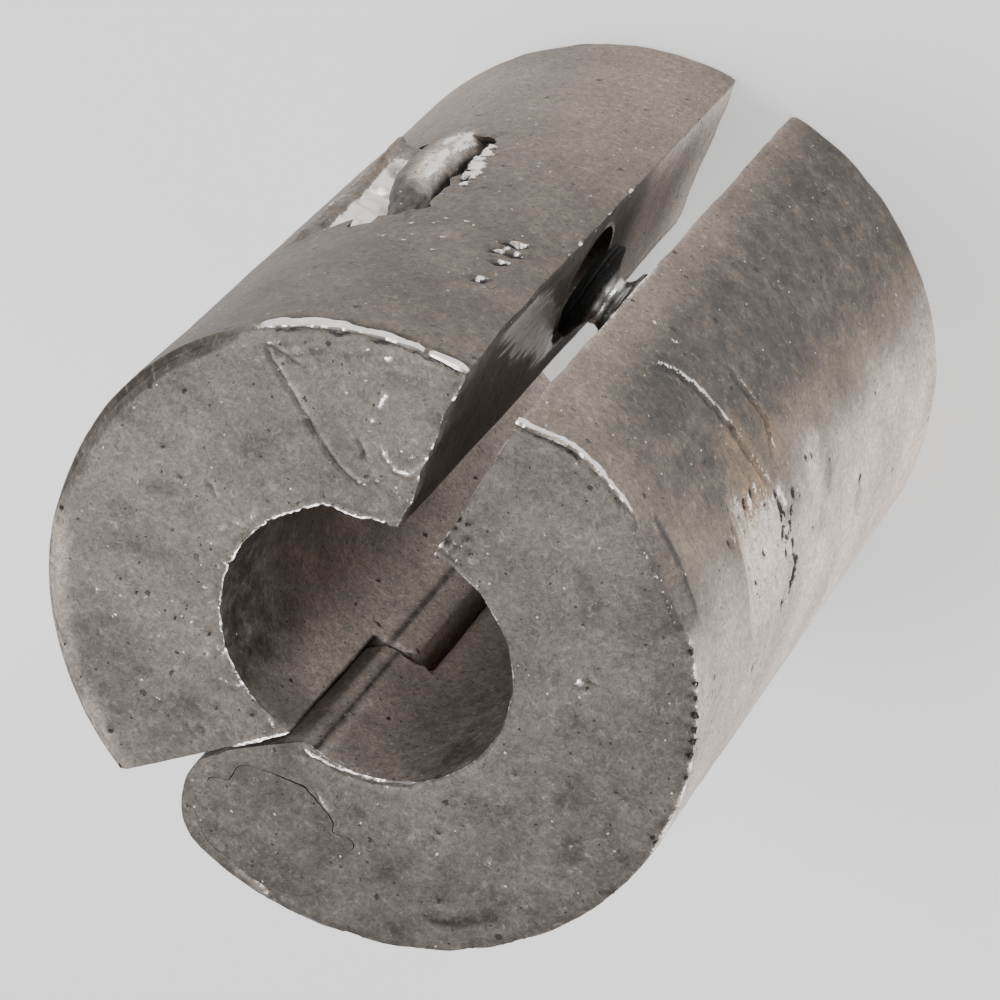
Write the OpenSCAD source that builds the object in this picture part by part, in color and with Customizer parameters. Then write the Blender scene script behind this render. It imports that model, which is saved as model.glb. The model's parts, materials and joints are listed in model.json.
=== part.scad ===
// Hinged keepnet weight: two cast lead half rings that shut round the ring of a net.
// Sizes are in millimetres. The upper half's bore is centred on the Z axis and the weight
// stands on its rear end at Z = 0. The hinge is on the -X side, the slot is on the +X side.

/* [Body] */
// Length of the weight along its bore
length = 42; // [38:0.5:48]
// Outer diameter of each half ring
outer_diameter = 32; // [31:0.25:34]
// Bore diameter of each half ring
bore_diameter = 13.3; // [12.5:0.1:13.8]
// How far the lower half's centre lies below the upper half's when shut
centre_drop = 0.8; // [0.4:0.1:1.2]

/* [Slot] */
// Gap between the inner corners of the slot when shut
slot_gap = 0.1; // [0.06:0.01:0.3]
// Slope of the upper half's slot face, in degrees
upper_draft = 1; // [0.5:0.25:2]
// Slope of the lower half's slot face, in degrees
lower_draft = 2; // [1:0.25:3]
// How far the weight stands open, in degrees from shut
open_angle = 5.8; // [0:0.2:40]

/* [Hinge] */
// Radius of the lower half's two hinge knuckles
knuckle_radius = 3.65; // [3.4:0.05:3.9]
// Length of each of the lower half's two hinge knuckles
knuckle_length = 11; // [9:0.5:12]
// Height of the hinge pin above the bore's axis
hinge_height = 1.1; // [0.8:0.1:1.4]
// Slope of the upper half's ends beside the hinge, in degrees
upper_end_slope = 44.3; // [42:0.1:47]
// Slope of the lower half's middle beside the hinge, in degrees below level
lower_end_slope = 8; // [5:0.5:10]
// Diameter of the hinge pin
pin_diameter = 2.5; // [2:0.1:3]
// Lead left behind the pin's blind end
pin_blind = 2; // [1.5:0.25:3]

/* [Plug] */
// Width of the lead plug over the end of the pin
plug_width = 5.8; // [5:0.1:6]
// Length of the plug across the front end
plug_length = 8.4; // [7:0.1:9]
// Depth of the plug
plug_depth = 2.5; // [1.5:0.25:4]

/* [Latch] */
// Distance of the latch stud inside the outer diameter
latch_inset = 4.45; // [4.4:0.05:4.9]
// Diameter of the stud's head
head_diameter = 5.6; // [5:0.1:6]
// Diameter of the stud's neck
neck_diameter = 2.7; // [2.2:0.1:3]
// Diameter of the ring at the stud's foot
foot_diameter = 4.8; // [4:0.1:5.2]
// Height of the stud above the slot face
stud_height = 2.9; // [2.6:0.1:3.2]
// Thickness of the ring at the stud's foot
foot_height = 0.5; // [0.3:0.1:0.7]
// Height over which the neck flares out into the head
flare_height = 0.6; // [0.4:0.1:0.8]
// Thickness of the head's rim
rim_height = 0.4; // [0.3:0.1:0.6]
// Height of the head's sloping crown
crown_height = 0.5; // [0.3:0.1:0.7]
// Width of the flat on top of the crown
crown_flat = 3.6; // [3:0.1:4]
// Length of the stud's shank in the lead
shank_length = 5; // [4:0.25:6]
// Diameter of the socket that takes the stud's head
socket_diameter = 6.6; // [6.2:0.1:6.8]

/* [Window] */
// Length of the window in the upper half's side, along the bore
window_length = 11.6; // [10:0.1:13]
// Width of the window
window_width = 4.3; // [4:0.1:4.8]
// Distance of the window's outer wall inside the outer diameter
window_inset = 1.75; // [1.5:0.05:2.2]
// Corner radius of the window
window_corner = 1; // [0.5:0.1:1.5]
// Height of the window's floor above the bore's axis
window_floor = 4.6; // [4:0.1:5]
// Diameter of the bar across the window
bar_diameter = 2.3; // [2:0.1:2.6]
// Slit between the bar and the window's outer wall
bar_slit = 1.5; // [1.2:0.05:1.7]
// Length of bar held in the lead at each end
bar_hold = 1; // [0.75:0.05:2]

/* [Hidden] */

$fn = 120;
lead_grey = [0.50, 0.48, 0.46];
bright_grey = [0.72, 0.71, 0.69];
steel_grey = [0.60, 0.60, 0.61];

// Fits
knuckle_clearance = 0.15;
knuckle_end_gap = 0.2;
pin_clearance = 0.05;
bar_proud = 0.2;
knuckle_overlap = 0.15;
socket_overlap = 0.2;

// Length that reaches past the whole weight, and past a face when cutting
beyond = 60;
past = 1;

outer_radius = outer_diameter / 2;
bore_radius = bore_diameter / 2;
middle = length / 2;

// The hinge pin stands where the lower knuckles round off the lower half's outer side
hinge_from_lower = outer_radius - knuckle_radius + knuckle_overlap;
hinge_y = hinge_height;
hinge_x = -sqrt(pow(hinge_from_lower, 2) - pow(hinge_height + centre_drop, 2));
hinge_from_upper = norm([hinge_x, hinge_y]);
upper_knuckle_radius = outer_radius - hinge_from_upper + knuckle_overlap;

// Directions in which the knuckles meet the outer sides, seen from the hinge pin
upper_side_angle = atan2(hinge_y, hinge_x);
lower_side_angle = atan2(hinge_y + centre_drop, hinge_x);
lower_end_angle = lower_end_slope - 90;

// Slot faces start at these heights at the bore
upper_slot_y = (slot_gap - centre_drop) / 2;
lower_slot_y = (-slot_gap - centre_drop) / 2;

latch_x = outer_radius - latch_inset;
pin_radius = pin_diameter / 2;

window_right = outer_radius - window_inset;
window_left = window_right - window_width;
bar_radius = bar_diameter / 2;
bar_x = window_right - bar_slit - bar_radius;
bar_y = sqrt(pow(outer_radius - bar_radius + bar_proud, 2) - pow(bar_x, 2));

function towards(angle, reach) = [reach * cos(angle), reach * sin(angle)];

// A ring as long as the weight, round an axis at the given height
module ring(centre_y) {
    translate([0, centre_y, 0])
    difference() {
        cylinder(r = outer_radius, h = length);
        translate([0, 0, -past])
        cylinder(r = bore_radius, h = length + 2 * past);
    }
}

// Moves what follows to the hinge pin's axis at a height
module at_hinge(height) {
    translate([hinge_x, hinge_y, height])
    children();
}

// Everything farther than reach from the hinge in one direction, from low to high.
// It starts at the given place along the face and goes on past the weight.
module beyond_face(angle, reach, low, high, start, finish) {
    at_hinge(low)
    rotate([0, 0, angle])
    translate([reach, start, 0])
    cube([beyond, finish - start, high - low]);
}

// The corner outside a knuckle between two directions from the hinge
module outside_knuckle(from, to, radius, low, high) {
    corner = [[0, 0], towards(from, beyond), towards((from + to) / 2, 2 * beyond), towards(to, beyond)];
    at_hinge(low)
    difference() {
        linear_extrude(high - low)
        polygon(corner);
        translate([0, 0, -past])
        cylinder(r = radius, h = high - low + 2 * past);
    }
}

// The space on one side of a slot face, from inside the bore outwards
module beside_slot(slot_y, draft, side) {
    translate([bore_radius, slot_y, -past])
    rotate([0, 0, draft])
    translate([-bore_diameter + past, side > 0 ? 0 : -beyond, 0])
    cube([beyond, beyond, length + 2 * past]);
}

// A box with rounded upright edges, lying along Y from one depth to another
module window_block(left, right, low, high, from_y, to_y) {
    translate([0, to_y, 0])
    rotate([90, 0, 0])
    linear_extrude(to_y - from_y) {
        translate([left + window_corner, low])
        square([right - left - 2 * window_corner, high - low]);
        translate([left, low + window_corner])
        square([right - left, high - low - 2 * window_corner]);
        for (x = [left + window_corner, right - window_corner])
            for (z = [low + window_corner, high - window_corner])
                translate([x, z])
                circle(r = window_corner);
    }
}

// The stud's place on the lower half's slot face, looking out of the face along Z
module at_stud() {
    translate([bore_radius, lower_slot_y, middle])
    rotate([0, 0, -lower_draft])
    translate([latch_x - bore_radius, 0, 0])
    rotate([-90, 0, 0])
    children();
}

// The plug's outline, a straight-sided oval that hangs from the hinge pin's axis
module plug_block(from_z, to_z) {
    half = plug_width / 2;
    straight = plug_length - plug_width;
    at_hinge(from_z)
    linear_extrude(to_z - from_z) {
        circle(r = half);
        translate([0, -straight])
        circle(r = half);
        translate([-half, -straight])
        square([plug_width, straight]);
    }
}

// Swings what follows open about the hinge pin
module swung_open() {
    at_hinge(0)
    rotate([0, 0, -open_angle])
    translate([-hinge_x, -hinge_y, 0])
    children();
}

module upper_half() {
    end_reach = knuckle_radius + knuckle_clearance;
    knuckle_low = knuckle_length + knuckle_end_gap;
    knuckle_high = length - knuckle_low;
    color(lead_grey)
    difference() {
        ring(0);
        beside_slot(upper_slot_y, upper_draft, -1);
        // Both ends stop short of the lower half's knuckles
        for (low = [-past, knuckle_high])
            beyond_face(upper_end_slope + 180, -end_reach, low, low + knuckle_low + past, -beyond, beyond);
        // The middle is a knuckle between them
        beyond_face(lower_end_angle, upper_knuckle_radius, knuckle_low - past, knuckle_high + past,
                    -beyond, hinge_from_upper);
        outside_knuckle(upper_side_angle, lower_end_angle + 360, upper_knuckle_radius,
                        knuckle_low - past, knuckle_high + past);
        at_hinge(-past)
        cylinder(r = pin_radius + pin_clearance, h = length + 2 * past);
        // Socket for the stud's head, open into the window
        translate([latch_x, upper_slot_y - past, middle])
        rotate([-90, 0, 0])
        cylinder(d = socket_diameter, h = window_floor - upper_slot_y + past + socket_overlap);
        window_block(window_left, window_right, middle - window_length / 2, middle + window_length / 2,
                     window_floor, beyond);
        bar();
    }
}

module lower_half() {
    face_reach = upper_knuckle_radius + knuckle_clearance;
    color(lead_grey)
    swung_open()
    difference() {
        ring(-centre_drop);
        beside_slot(lower_slot_y, -lower_draft, 1);
        // The middle stops short of the upper half's knuckle
        beyond_face(lower_end_angle + 180, -face_reach, knuckle_length, length - knuckle_length,
                    -beyond, beyond);
        // Both ends are knuckles
        for (low = [-past, length - knuckle_length - past]) {
            beyond_face(upper_end_slope, knuckle_radius, low, low + knuckle_length + 2 * past,
                        -hinge_from_lower, beyond);
            outside_knuckle(upper_end_slope, lower_side_angle, knuckle_radius,
                            low, low + knuckle_length + 2 * past);
        }
        pin();
        plug_block(length - plug_depth, length + past);
        at_stud()
        shank();
    }
}

module pin() {
    at_hinge(pin_blind)
    cylinder(r = pin_radius, h = length - plug_depth - pin_blind);
}

module hinge_pin() {
    color(steel_grey)
    pin();
}

module hinge_plug() {
    color(lead_grey)
    swung_open()
    plug_block(length - plug_depth, length);
}

module shank() {
    translate([0, 0, -shank_length])
    cylinder(d = neck_diameter, h = shank_length + past / 2);
}

module latch_stud() {
    rim_low = stud_height - crown_height - rim_height;
    color(bright_grey)
    swung_open()
    at_stud() {
        shank();
        cylinder(d = foot_diameter, h = foot_height);
        cylinder(d = neck_diameter, h = stud_height - crown_height);
        translate([0, 0, rim_low - flare_height])
        cylinder(d1 = neck_diameter, d2 = head_diameter, h = flare_height);
        translate([0, 0, rim_low])
        cylinder(d = head_diameter, h = rim_height);
        translate([0, 0, rim_low + rim_height])
        cylinder(d1 = head_diameter, d2 = crown_flat, h = crown_height);
    }
}

module bar() {
    translate([bar_x, bar_y, middle - window_length / 2 - bar_hold])
    cylinder(r = bar_radius, h = window_length + 2 * bar_hold);
}

module catch_bar() {
    color(bright_grey)
    bar();
}

upper_half();
lower_half();
hinge_pin();
hinge_plug();
latch_stud();
catch_bar();
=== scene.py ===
"""Looks of a hinged keepnet weight: two cast lead half rings, their latch and their hinge."""

import json
import math
import random
from collections import namedtuple

import bmesh
import bpy
import numpy as np
from bpy.props import FloatProperty, FloatVectorProperty, IntProperty, PointerProperty
from bpy.types import Operator, Panel, PropertyGroup
from mathutils import Matrix, Vector, noise


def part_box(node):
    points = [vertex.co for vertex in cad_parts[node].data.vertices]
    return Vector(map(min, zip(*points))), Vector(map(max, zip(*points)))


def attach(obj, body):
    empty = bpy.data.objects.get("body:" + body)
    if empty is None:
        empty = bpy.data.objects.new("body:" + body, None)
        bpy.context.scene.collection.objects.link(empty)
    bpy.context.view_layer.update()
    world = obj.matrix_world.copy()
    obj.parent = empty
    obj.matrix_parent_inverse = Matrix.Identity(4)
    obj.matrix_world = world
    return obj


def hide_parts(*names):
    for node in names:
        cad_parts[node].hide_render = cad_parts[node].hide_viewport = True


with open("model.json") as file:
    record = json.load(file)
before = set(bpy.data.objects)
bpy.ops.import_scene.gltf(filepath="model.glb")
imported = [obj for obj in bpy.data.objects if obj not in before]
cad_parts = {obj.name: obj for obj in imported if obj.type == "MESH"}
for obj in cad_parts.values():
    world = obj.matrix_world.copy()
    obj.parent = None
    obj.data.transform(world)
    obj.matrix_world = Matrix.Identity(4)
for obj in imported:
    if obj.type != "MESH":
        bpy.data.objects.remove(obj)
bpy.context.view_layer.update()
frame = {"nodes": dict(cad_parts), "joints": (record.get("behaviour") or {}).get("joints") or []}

bl_info = {
    "name": "Keepnet weight",
    "version": (1, 0, 0),
    "blender": (4, 5, 0),
    "location": "3D View > Sidebar > Keepnet weight",
    "description": "Models the cast halves, plug, stud and bar of a hinged keepnet weight",
    "category": "Object",
}

MM = 0.001

# Sizes of the two castings, in millimetres
OUTER = 16.0
BORE = 6.65
LENGTH = 42.0
MIDDLE = LENGTH / 2

# Place and turn of the hinge and of the latch, in millimetres and radians
HINGE = Vector(frame["joints"][0]["pos_m"]) / MM
SHUT_TURN = -math.radians(frame["joints"][0]["range_deg"][0])
LATCH_REACH = 4.9
SOCKET_RIM = 3.4

# Each half: its drop when shut, its slot face, its two faces beside the pin, and angles round its bore
Half = namedtuple("Half", "drop slot draft end middle last_angle core_line")
UPPER = Half(0.0, -0.35, math.radians(1), 3.8, 3.746, 270, -178.7)
LOWER = Half(0.8, 0.35, math.radians(-2), 3.65, 3.896, 90, 174.8)

# Ways that the faces beside the hinge look from the pin, and where the knuckles end along the bore
END_LOOK = math.radians(44.3)
MIDDLE_LOOK = math.radians(-82)
KNUCKLE_LENGTH = 11.0
KNUCKLE_FRONT = 30.8

# The plug's outline in the lower half's own frame, in millimetres
PLUG_RADIUS = 2.9
PLUG_TOP = Vector((HINGE.x, HINGE.y + LOWER.drop, LENGTH))
PLUG_DROP = 2.6

# The window in the upper half's side, in millimetres
WINDOW_LEFT = 9.95
WINDOW_RIGHT = 14.25
WINDOW_LOW = 15.2
WINDOW_HIGH = 26.8
WINDOW_FLOOR = 4.6

# The stud's outline: distances from its axis and heights over the slot face, in millimetres
STUD_OUTLINE = (
    (0, -5.0), (1.25, -5.0), (1.35, -4.9), (1.35, -0.1), (2.3, -0.1), (2.4, 0.05), (2.38, 0.22), (2.2, 0.27),
    (2.3, 0.36), (2.2, 0.5), (1.75, 0.62), (1.45, 0.85), (1.35, 1.15), (1.45, 1.45), (1.8, 1.72), (2.3, 1.9),
    (2.66, 1.98), (2.78, 2.08), (2.74, 2.2), (2.64, 2.26), (2.74, 2.32), (2.74, 2.42), (2.6, 2.54),
    (2.1, 2.7), (1.8, 2.82), (1.2, 2.88), (0, 2.9))
STUD_STEPS = 96

# Ways from the bar outwards and towards the slot, and how finely the bar is divided
BAR_OUTWARDS = Vector((0.258, 0.966, 0))
BAR_NEARER = Vector((0.637, -0.77, 0))
BAR_STEPS = 64
BAR_CUTS = 60

# The camera that the photo's view was fitted to, in millimetres
CAMERA_PLACE = Vector((118.898, -33.088, 220.388))
CAMERA_VIEW = Vector((-0.51353798, 0.1371176, -0.84704044))
CAMERA_UP = Vector((0.7865222, 0.46984029, -0.40079037))
SENSOR_WIDTH = 36

# The lights: direction from the weight, distance, width and height in metres
LIGHTS = {
    "key": ((-0.1, 0.35, 0.93), 0.25, 0.2, 0.2),
    "slot": ((1.0, -0.2, 0.22), 0.6, 0.16, 0.4),
    "side": ((0.05, -1.0, 0.12), 0.6, 0.5, 0.5),
}

# The grey surroundings
WORLD_GREY = 0.8
WORLD_STRENGTH = 0.2

# What is painted on the castings for their material to read, painted light and shade among it, and the most
# of it
PAINTS = ("worn", "grime", "tan", "pale", "pit")
MOST_PAINT = 1.5

# Places of a Mix node's factor, two colours and mixed colour among its sockets
MIX_FACTOR = 0
MIX_FIRST = 6
MIX_SECOND = 7
MIX_RESULT = 2

# Faces that meet at a wider angle than this keep a crisp edge
SHARP_ANGLE = math.radians(50)

# Reach of the two passes of finer faces, how near is on a face, and how far is out of reach, in millimetres
FIRST_REACH = 1.0
SECOND_REACH = 0.55
SKIN = 0.3
FAR = 99.0

# Starts of the random draws
UPPER_FRONT_DRAW = 9
UPPER_SIDE_DRAW = 4
RIM_DRAW = 6
LOWER_FRONT_DRAW = 21
LOWER_SIDE_DRAW = 17

# Directions in a half's own frame
ACROSS = (1, 0, 0)
UPWARDS = (0, 1, 0)
ALONG = (0, 0, 1)
BACKWARDS = (0, 0, -1)


def colour_setting(name, description, default):
    """A colour that the user can change."""
    return FloatVectorProperty(
        name=name, description=description, default=default, size=3, min=0, max=1, subtype="COLOR")


def height_setting(name, description, default, most):
    """A small size of the surface that the user can change, given in millimetres."""
    return FloatProperty(
        name=name, description=description, default=default * MM, min=0, max=most * MM, unit="LENGTH")


def power_setting(name, description, default):
    """A light's power that the user can change."""
    return FloatProperty(name=name, description=description, default=default, min=0, unit="POWER")


class LeadSettings(PropertyGroup):
    """Colours and surface of the cast lead."""
    lead_colour: colour_setting("Lead", "Colour of the dull cast lead", (0.147, 0.128, 0.110))
    # The dark colour also gives the painted shade in the bore, on the slot face, in the hinge gap and in the
    # window's slit
    dark_colour: colour_setting(
        "Dark lead", "Colour of the tarnish in hollows and in the bore", (0.04, 0.035, 0.031))
    # Fresh lead also gives the painted highlights on the bar's crest, the window's far wall and the slot
    # face
    worn_colour: colour_setting("Fresh lead", "Colour of scraped and newly cut lead", (0.88, 0.85, 0.82))
    # Pale lead also gives the painted light in the bore, on the slot faces, on the bar, on the rim towards
    # the hinge and on the lower half's side
    pale_colour: colour_setting(
        "Pale lead", "Colour of the dry pale lead on the sides and in the bore", (0.6, 0.51, 0.45))
    tan_colour: colour_setting(
        "Tan stain", "Colour of the brownish stain round the scrapes", (0.255, 0.168, 0.102))
    wave_height: height_setting("Waves", "Height of the slow waves of the cast faces", 0.07, 0.3)
    ripple_height: height_setting("Ripples", "Height of the small lumps of the cast faces", 0.025, 0.1)
    rim_round: height_setting("Rounded rims", "How far the rims are worn back", 0.1, 0.3)
    burr_height: height_setting("Burrs", "Height of the burrs along the rims", 0.2, 0.4)
    dent_depth: height_setting("Dents", "Depth of the knocks and pits", 0.25, 0.5)
    scratch_height: height_setting("Scratches", "Height of the ridges along the long scratches", 0.13, 0.3)
    crack_width: height_setting("Plug joint", "Width of the open joint round the plug", 0.08, 0.3)
    fineness: IntProperty(
        name="Fineness", description="Levels of the halves' base mesh", default=7, min=5, max=7)
    plug_fineness: IntProperty(
        name="Plug fineness", description="Levels of the plug's mesh", default=6, min=5, max=7)


class MetalSettings(PropertyGroup):
    """Colours of the stud and the pin."""
    stud_colour: colour_setting("Stud", "Colour of the bright latch stud", (0.78, 0.77, 0.75))
    pin_colour: colour_setting("Pin", "Colour of the hinge pin", (0.42, 0.41, 0.40))


class StageSettings(PropertyGroup):
    """Floor, light and camera."""
    floor_colour: colour_setting("Floor", "Colour of the pale floor", (0.72, 0.72, 0.72))
    floor_size: FloatProperty(
        name="Floor size", description="Width of the floor", default=3.0, min=0.5, unit="LENGTH")
    floor_glow: FloatProperty(
        name="Floor glow", description="Strength of the light that comes through the floor",
        default=0.6, min=0, max=4)
    key_power: power_setting("Key light", "Power of the near light over the front", 0.85)
    slot_power: power_setting("Slot light", "Power of the low light in front of the slot", 1.8)
    side_power: power_setting("Side light", "Power of the light beside the lower half", 5.0)
    lens: FloatProperty(
        name="Lens", description="Focal length of the camera on its 36 mm sensor",
        default=162.0, min=20, unit="CAMERA")


def settings(context, group):
    """One group of the scene's settings."""
    return getattr(context.scene, "weight_" + group)


def fade(low, high, values):
    """Goes smoothly from 0 at low to 1 at high, which may be the lesser."""
    part = np.clip((values - low) / (high - low), 0, 1)
    return part * part * (3 - 2 * part)


def between(values, start, full, last, end):
    """1 from full to last, fading to 0 at start and at end."""
    return fade(start, full, values) * fade(end, last, values)


def bell(values, centre, width):
    """1 at the centre, falling away on both sides over the width."""
    return np.exp(-((values - centre) / width) ** 2)


def on_face(gap, facing):
    """1 on a face and 0 off it, from the distance to it and how far each place looks its way."""
    return fade(0.4, 0.05, gap) * fade(0.3, 0.7, facing)


def on_side(marks):
    """Turns places given in degrees round the side and millimetres along it into millimetres."""
    return [(math.radians(angle) * OUTER, height) for angle, height in marks]


class Face:
    """A face of a casting laid out flat in millimetres, to draw on."""

    def __init__(self, across, along, here):
        self.across = across
        self.along = along
        self.here = here

    def stroke(self, path, width, taper, aside=(0, 0)):
        """How near each place is to a line, from 0 to 1, fading out over taper at the line's ends."""
        across = self.across + aside[0]
        along = self.along + aside[1]
        nearest = np.full(len(across), np.inf)
        run = np.zeros(len(across))
        done = 0.0
        for start, end in zip(path, path[1:]):
            step = (end[0] - start[0], end[1] - start[1])
            reach = math.hypot(*step)
            part = ((across - start[0]) * step[0] + (along - start[1]) * step[1]) / reach ** 2
            part = np.clip(part, 0, 1)
            gap = np.hypot(across - start[0] - part * step[0], along - start[1] - part * step[1])
            closer = gap < nearest
            nearest = np.where(closer, gap, nearest)
            run = np.where(closer, done + part * reach, run)
            done += reach
        ends = fade(0, taper, run) * fade(0, taper, done - run)
        return np.exp(-(nearest / width) ** 2) * ends * self.here

    def spot(self, centre, size, turn=0.0):
        """A soft oval spot, 1 at its centre; size is its half width across and along before the turn."""
        across = self.across - centre[0]
        along = self.along - centre[1]
        first = across * math.cos(turn) + along * math.sin(turn)
        second = along * math.cos(turn) - across * math.sin(turn)
        return np.exp(-(first / size[0]) ** 2 - (second / size[1]) ** 2) * self.here


class Cast:
    """A casting's mesh in millimetres, its places in its half's own frame, and the marks made on them."""

    def __init__(self, node, levels, half, lead):
        self.node = node
        self.mesh = fine_copy(node, levels)
        self.half = half
        self.place = Matrix.Identity(4) if half is UPPER else lower_place()
        self.lead = lead
        self.burr = lead.burr_height / MM
        self.dent = lead.dent_depth / MM
        self.ridge = lead.scratch_height / MM
        self.read()

    def read(self):
        """Reads the places again after the mesh has changed."""
        self.mesh.verts.ensure_lookup_table()
        self.mesh.normal_update()
        self.points = np.array([self.place @ vert.co for vert in self.mesh.verts])
        self.x, self.y, self.z = self.points.T
        self.radius = np.hypot(self.x, self.y)
        self.outwards = np.column_stack((self.x, self.y, 0 * self.z)) / self.radius[:, None]

        # Angles round the bore run up to the half's last angle
        last_angle = self.half.last_angle
        self.angle = (np.degrees(np.arctan2(self.y, self.x)) - last_angle) % 360 - 360 + last_angle
        self.arc = np.radians(self.angle) * OUTER
        self.to_outer = np.abs(OUTER - self.radius)
        self.to_bore = np.abs(self.radius - BORE)
        self.to_front = np.abs(LENGTH - self.z)
        self.to_rear = np.abs(self.z)
        rise = (self.y - self.half.slot) * math.cos(self.half.draft)
        to_slot = np.abs(rise - (self.x - BORE) * math.sin(self.half.draft))
        self.to_slot = np.where(self.x > BORE - 1, to_slot, FAR)
        turn = self.place.to_3x3()
        self.looks = np.array([turn @ vert.normal for vert in self.mesh.verts])
        facing_out = (self.looks * self.outwards).sum(axis=1)
        self.on_outer = on_face(self.to_outer, facing_out)
        self.on_front = on_face(self.to_front, self.looks[:, 2])
        self.on_bore = on_face(self.to_bore, -facing_out)
        self.height = np.zeros(len(self.x))
        self.shift = np.zeros((len(self.x), 3))
        self.paint = {name: np.zeros(len(self.x)) for name in PAINTS}

    def refine(self, near):
        """Splits the faces whose corners are all in a part of the casting."""
        faces = [face for face in self.mesh.faces if all(near[vert.index] for vert in face.verts)]
        edges = list({edge for face in faces for edge in face.edges})
        bmesh.ops.subdivide_edges(self.mesh, edges=edges, cuts=1, use_grid_fill=True)
        self.mesh.verts.index_update()
        self.read()

    def wobble(self, size, seed=0.0, stretch=(1.0, 1.0, 1.0)):
        """Smooth noise between -1 and 1 at each place, with lumps of the given size."""
        offset = Vector((seed, -2 * seed, 3 * seed))
        return np.array([noise.noise(Vector(point) / size + offset) for point in self.points * stretch])

    def bent(self, across, along, here, bend, lump, seed):
        """A face whose drawings are bent by noise of the given height and size."""
        across = across + bend * self.wobble(lump, seed)
        along = along + bend * self.wobble(lump, seed + 2)
        return Face(across, along, here)

    def bent_front(self, bend, lump, seed):
        """The front end, to draw on in X and Y."""
        return self.bent(self.x, self.y, self.on_front, bend, lump, seed)

    def bent_side(self, bend, lump, seed):
        """The outer side, to draw on round it and along it."""
        return self.bent(self.arc, self.z, self.on_outer, bend, lump, seed)

    def mark(self, shape, burr=0.0, dent=0.0, ridge=0.0, **paint):
        """Adds one mark: how far it stands up, in parts of the heights set, and how much paint it has."""
        self.height += (burr * self.burr + dent * self.dent + ridge * self.ridge) * shape
        for name, amount in paint.items():
            self.paint[name] += amount * shape

    def scatter(self, face, centres, size, turn=0.0, **mark):
        """Makes the same spot at several places of a face."""
        for centre in centres:
            self.mark(face.spot(centre, size, turn), **mark)

    def push(self, amount, way):
        """Moves each place by its own amount, all in one direction or each in its own."""
        self.shift += np.reshape(amount, (-1, 1)) * way

    def finish(self, name, metal, body):
        """Moves each vertex along its normal and by its shift, keeps the paint, and makes the piece."""
        back = self.place.to_3x3().inverted()
        layers = {paint: self.mesh.verts.layers.float.new(paint) for paint in PAINTS}
        for vert in self.mesh.verts:
            vert.co += vert.normal * self.height[vert.index] + back @ Vector(self.shift[vert.index])
            for paint, layer in layers.items():
                vert[layer] = min(max(self.paint[paint][vert.index], 0), MOST_PAINT)
        finish_piece(self.mesh, name, lead_material(metal, self.lead), body, self.node)


def fine_copy(node, levels):
    """A copy of a CAD node in millimetres, made of small even faces that keep its sharp edges."""
    rough = bmesh.new()
    rough.from_mesh(frame["nodes"][node].data)
    bmesh.ops.remove_doubles(rough, verts=rough.verts, dist=0.0002 * MM)
    bmesh.ops.scale(rough, vec=(1 / MM, 1 / MM, 1 / MM), verts=rough.verts)
    data = bpy.data.meshes.new(node + "_rough")
    rough.to_mesh(data)
    rough.free()
    model = bpy.data.objects.new(node + "_rough", data)
    bpy.context.scene.collection.objects.link(model)
    remesh = model.modifiers.new("Even faces", "REMESH")
    remesh.mode = "SHARP"
    remesh.octree_depth = levels
    remesh.scale = 0.95
    remesh.use_remove_disconnected = False
    graph = bpy.context.evaluated_depsgraph_get()
    even = bpy.data.meshes.new_from_object(model.evaluated_get(graph))
    fine = bmesh.new()
    fine.from_mesh(even)
    bpy.data.objects.remove(model)
    bpy.data.meshes.remove(data)
    bpy.data.meshes.remove(even)
    return fine


def make_object(mesh, name, material):
    """Makes an object of the scene from a mesh in metres."""
    data = bpy.data.meshes.new(name)
    mesh.to_mesh(data)
    mesh.free()
    data.materials.append(material)
    made = bpy.data.objects.new(name, data)
    bpy.context.scene.collection.objects.link(made)
    return made


def finish_piece(mesh, name, material, body, node):
    """Makes a piece from a mesh in millimetres with its finish, ties it to its body, and hides its CAD node.
    """
    bmesh.ops.scale(mesh, vec=(MM, MM, MM), verts=mesh.verts)
    piece = make_object(mesh, name, material)
    piece.data.polygons.foreach_set("use_smooth", [True] * len(piece.data.polygons))
    piece.data.set_sharp_from_angle(angle=SHARP_ANGLE)
    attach(piece, body)
    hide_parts(node)


def lower_place():
    """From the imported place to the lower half's own frame, shut and with its bore on the Z axis."""
    shut = Matrix.Translation(HINGE) @ Matrix.Rotation(SHUT_TURN, 4, "Z") @ Matrix.Translation(-HINGE)
    return Matrix.Translation((0, LOWER.drop, 0)) @ shut


def add_node(tree, kind, values=None, **looks):
    """Adds a shader node with some of its looks and values set."""
    made = tree.nodes.new(kind)
    for name, value in looks.items():
        setattr(made, name, value)
    for name, value in (values or {}).items():
        made.inputs[name].default_value = value
    return made


def plug_in(tree, made, sources):
    """Links or sets a node's inputs, each from a socket or a plain value."""
    for place, source in sources.items():
        if isinstance(source, bpy.types.NodeSocket):
            tree.links.new(source, made.inputs[place])
        else:
            made.inputs[place].default_value = source


def mix_colours(tree, factor, first, second, blend="MIX"):
    """Mixes two colours, each a socket or four numbers, by a socket or a number."""
    mixer = add_node(tree, "ShaderNodeMix", data_type="RGBA", blend_type=blend)
    plug_in(tree, mixer, {MIX_FACTOR: factor, MIX_FIRST: first, MIX_SECOND: second})
    return mixer.outputs[MIX_RESULT]


def maths(tree, operation, first, second):
    """Arithmetic on two values, each a socket or a number."""
    made = add_node(tree, "ShaderNodeMath", operation=operation)
    plug_in(tree, made, {0: first, 1: second})
    return made.outputs[0]


def spread(tree, source, low, high, to_low=0.0, to_high=1.0):
    """Maps a value from one range to another and holds it there."""
    values = {"From Min": low, "From Max": high, "To Min": to_low, "To Max": to_high}
    ranger = add_node(tree, "ShaderNodeMapRange", values, clamp=True)
    tree.links.new(source, ranger.inputs["Value"])
    return ranger.outputs["Result"]


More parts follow.
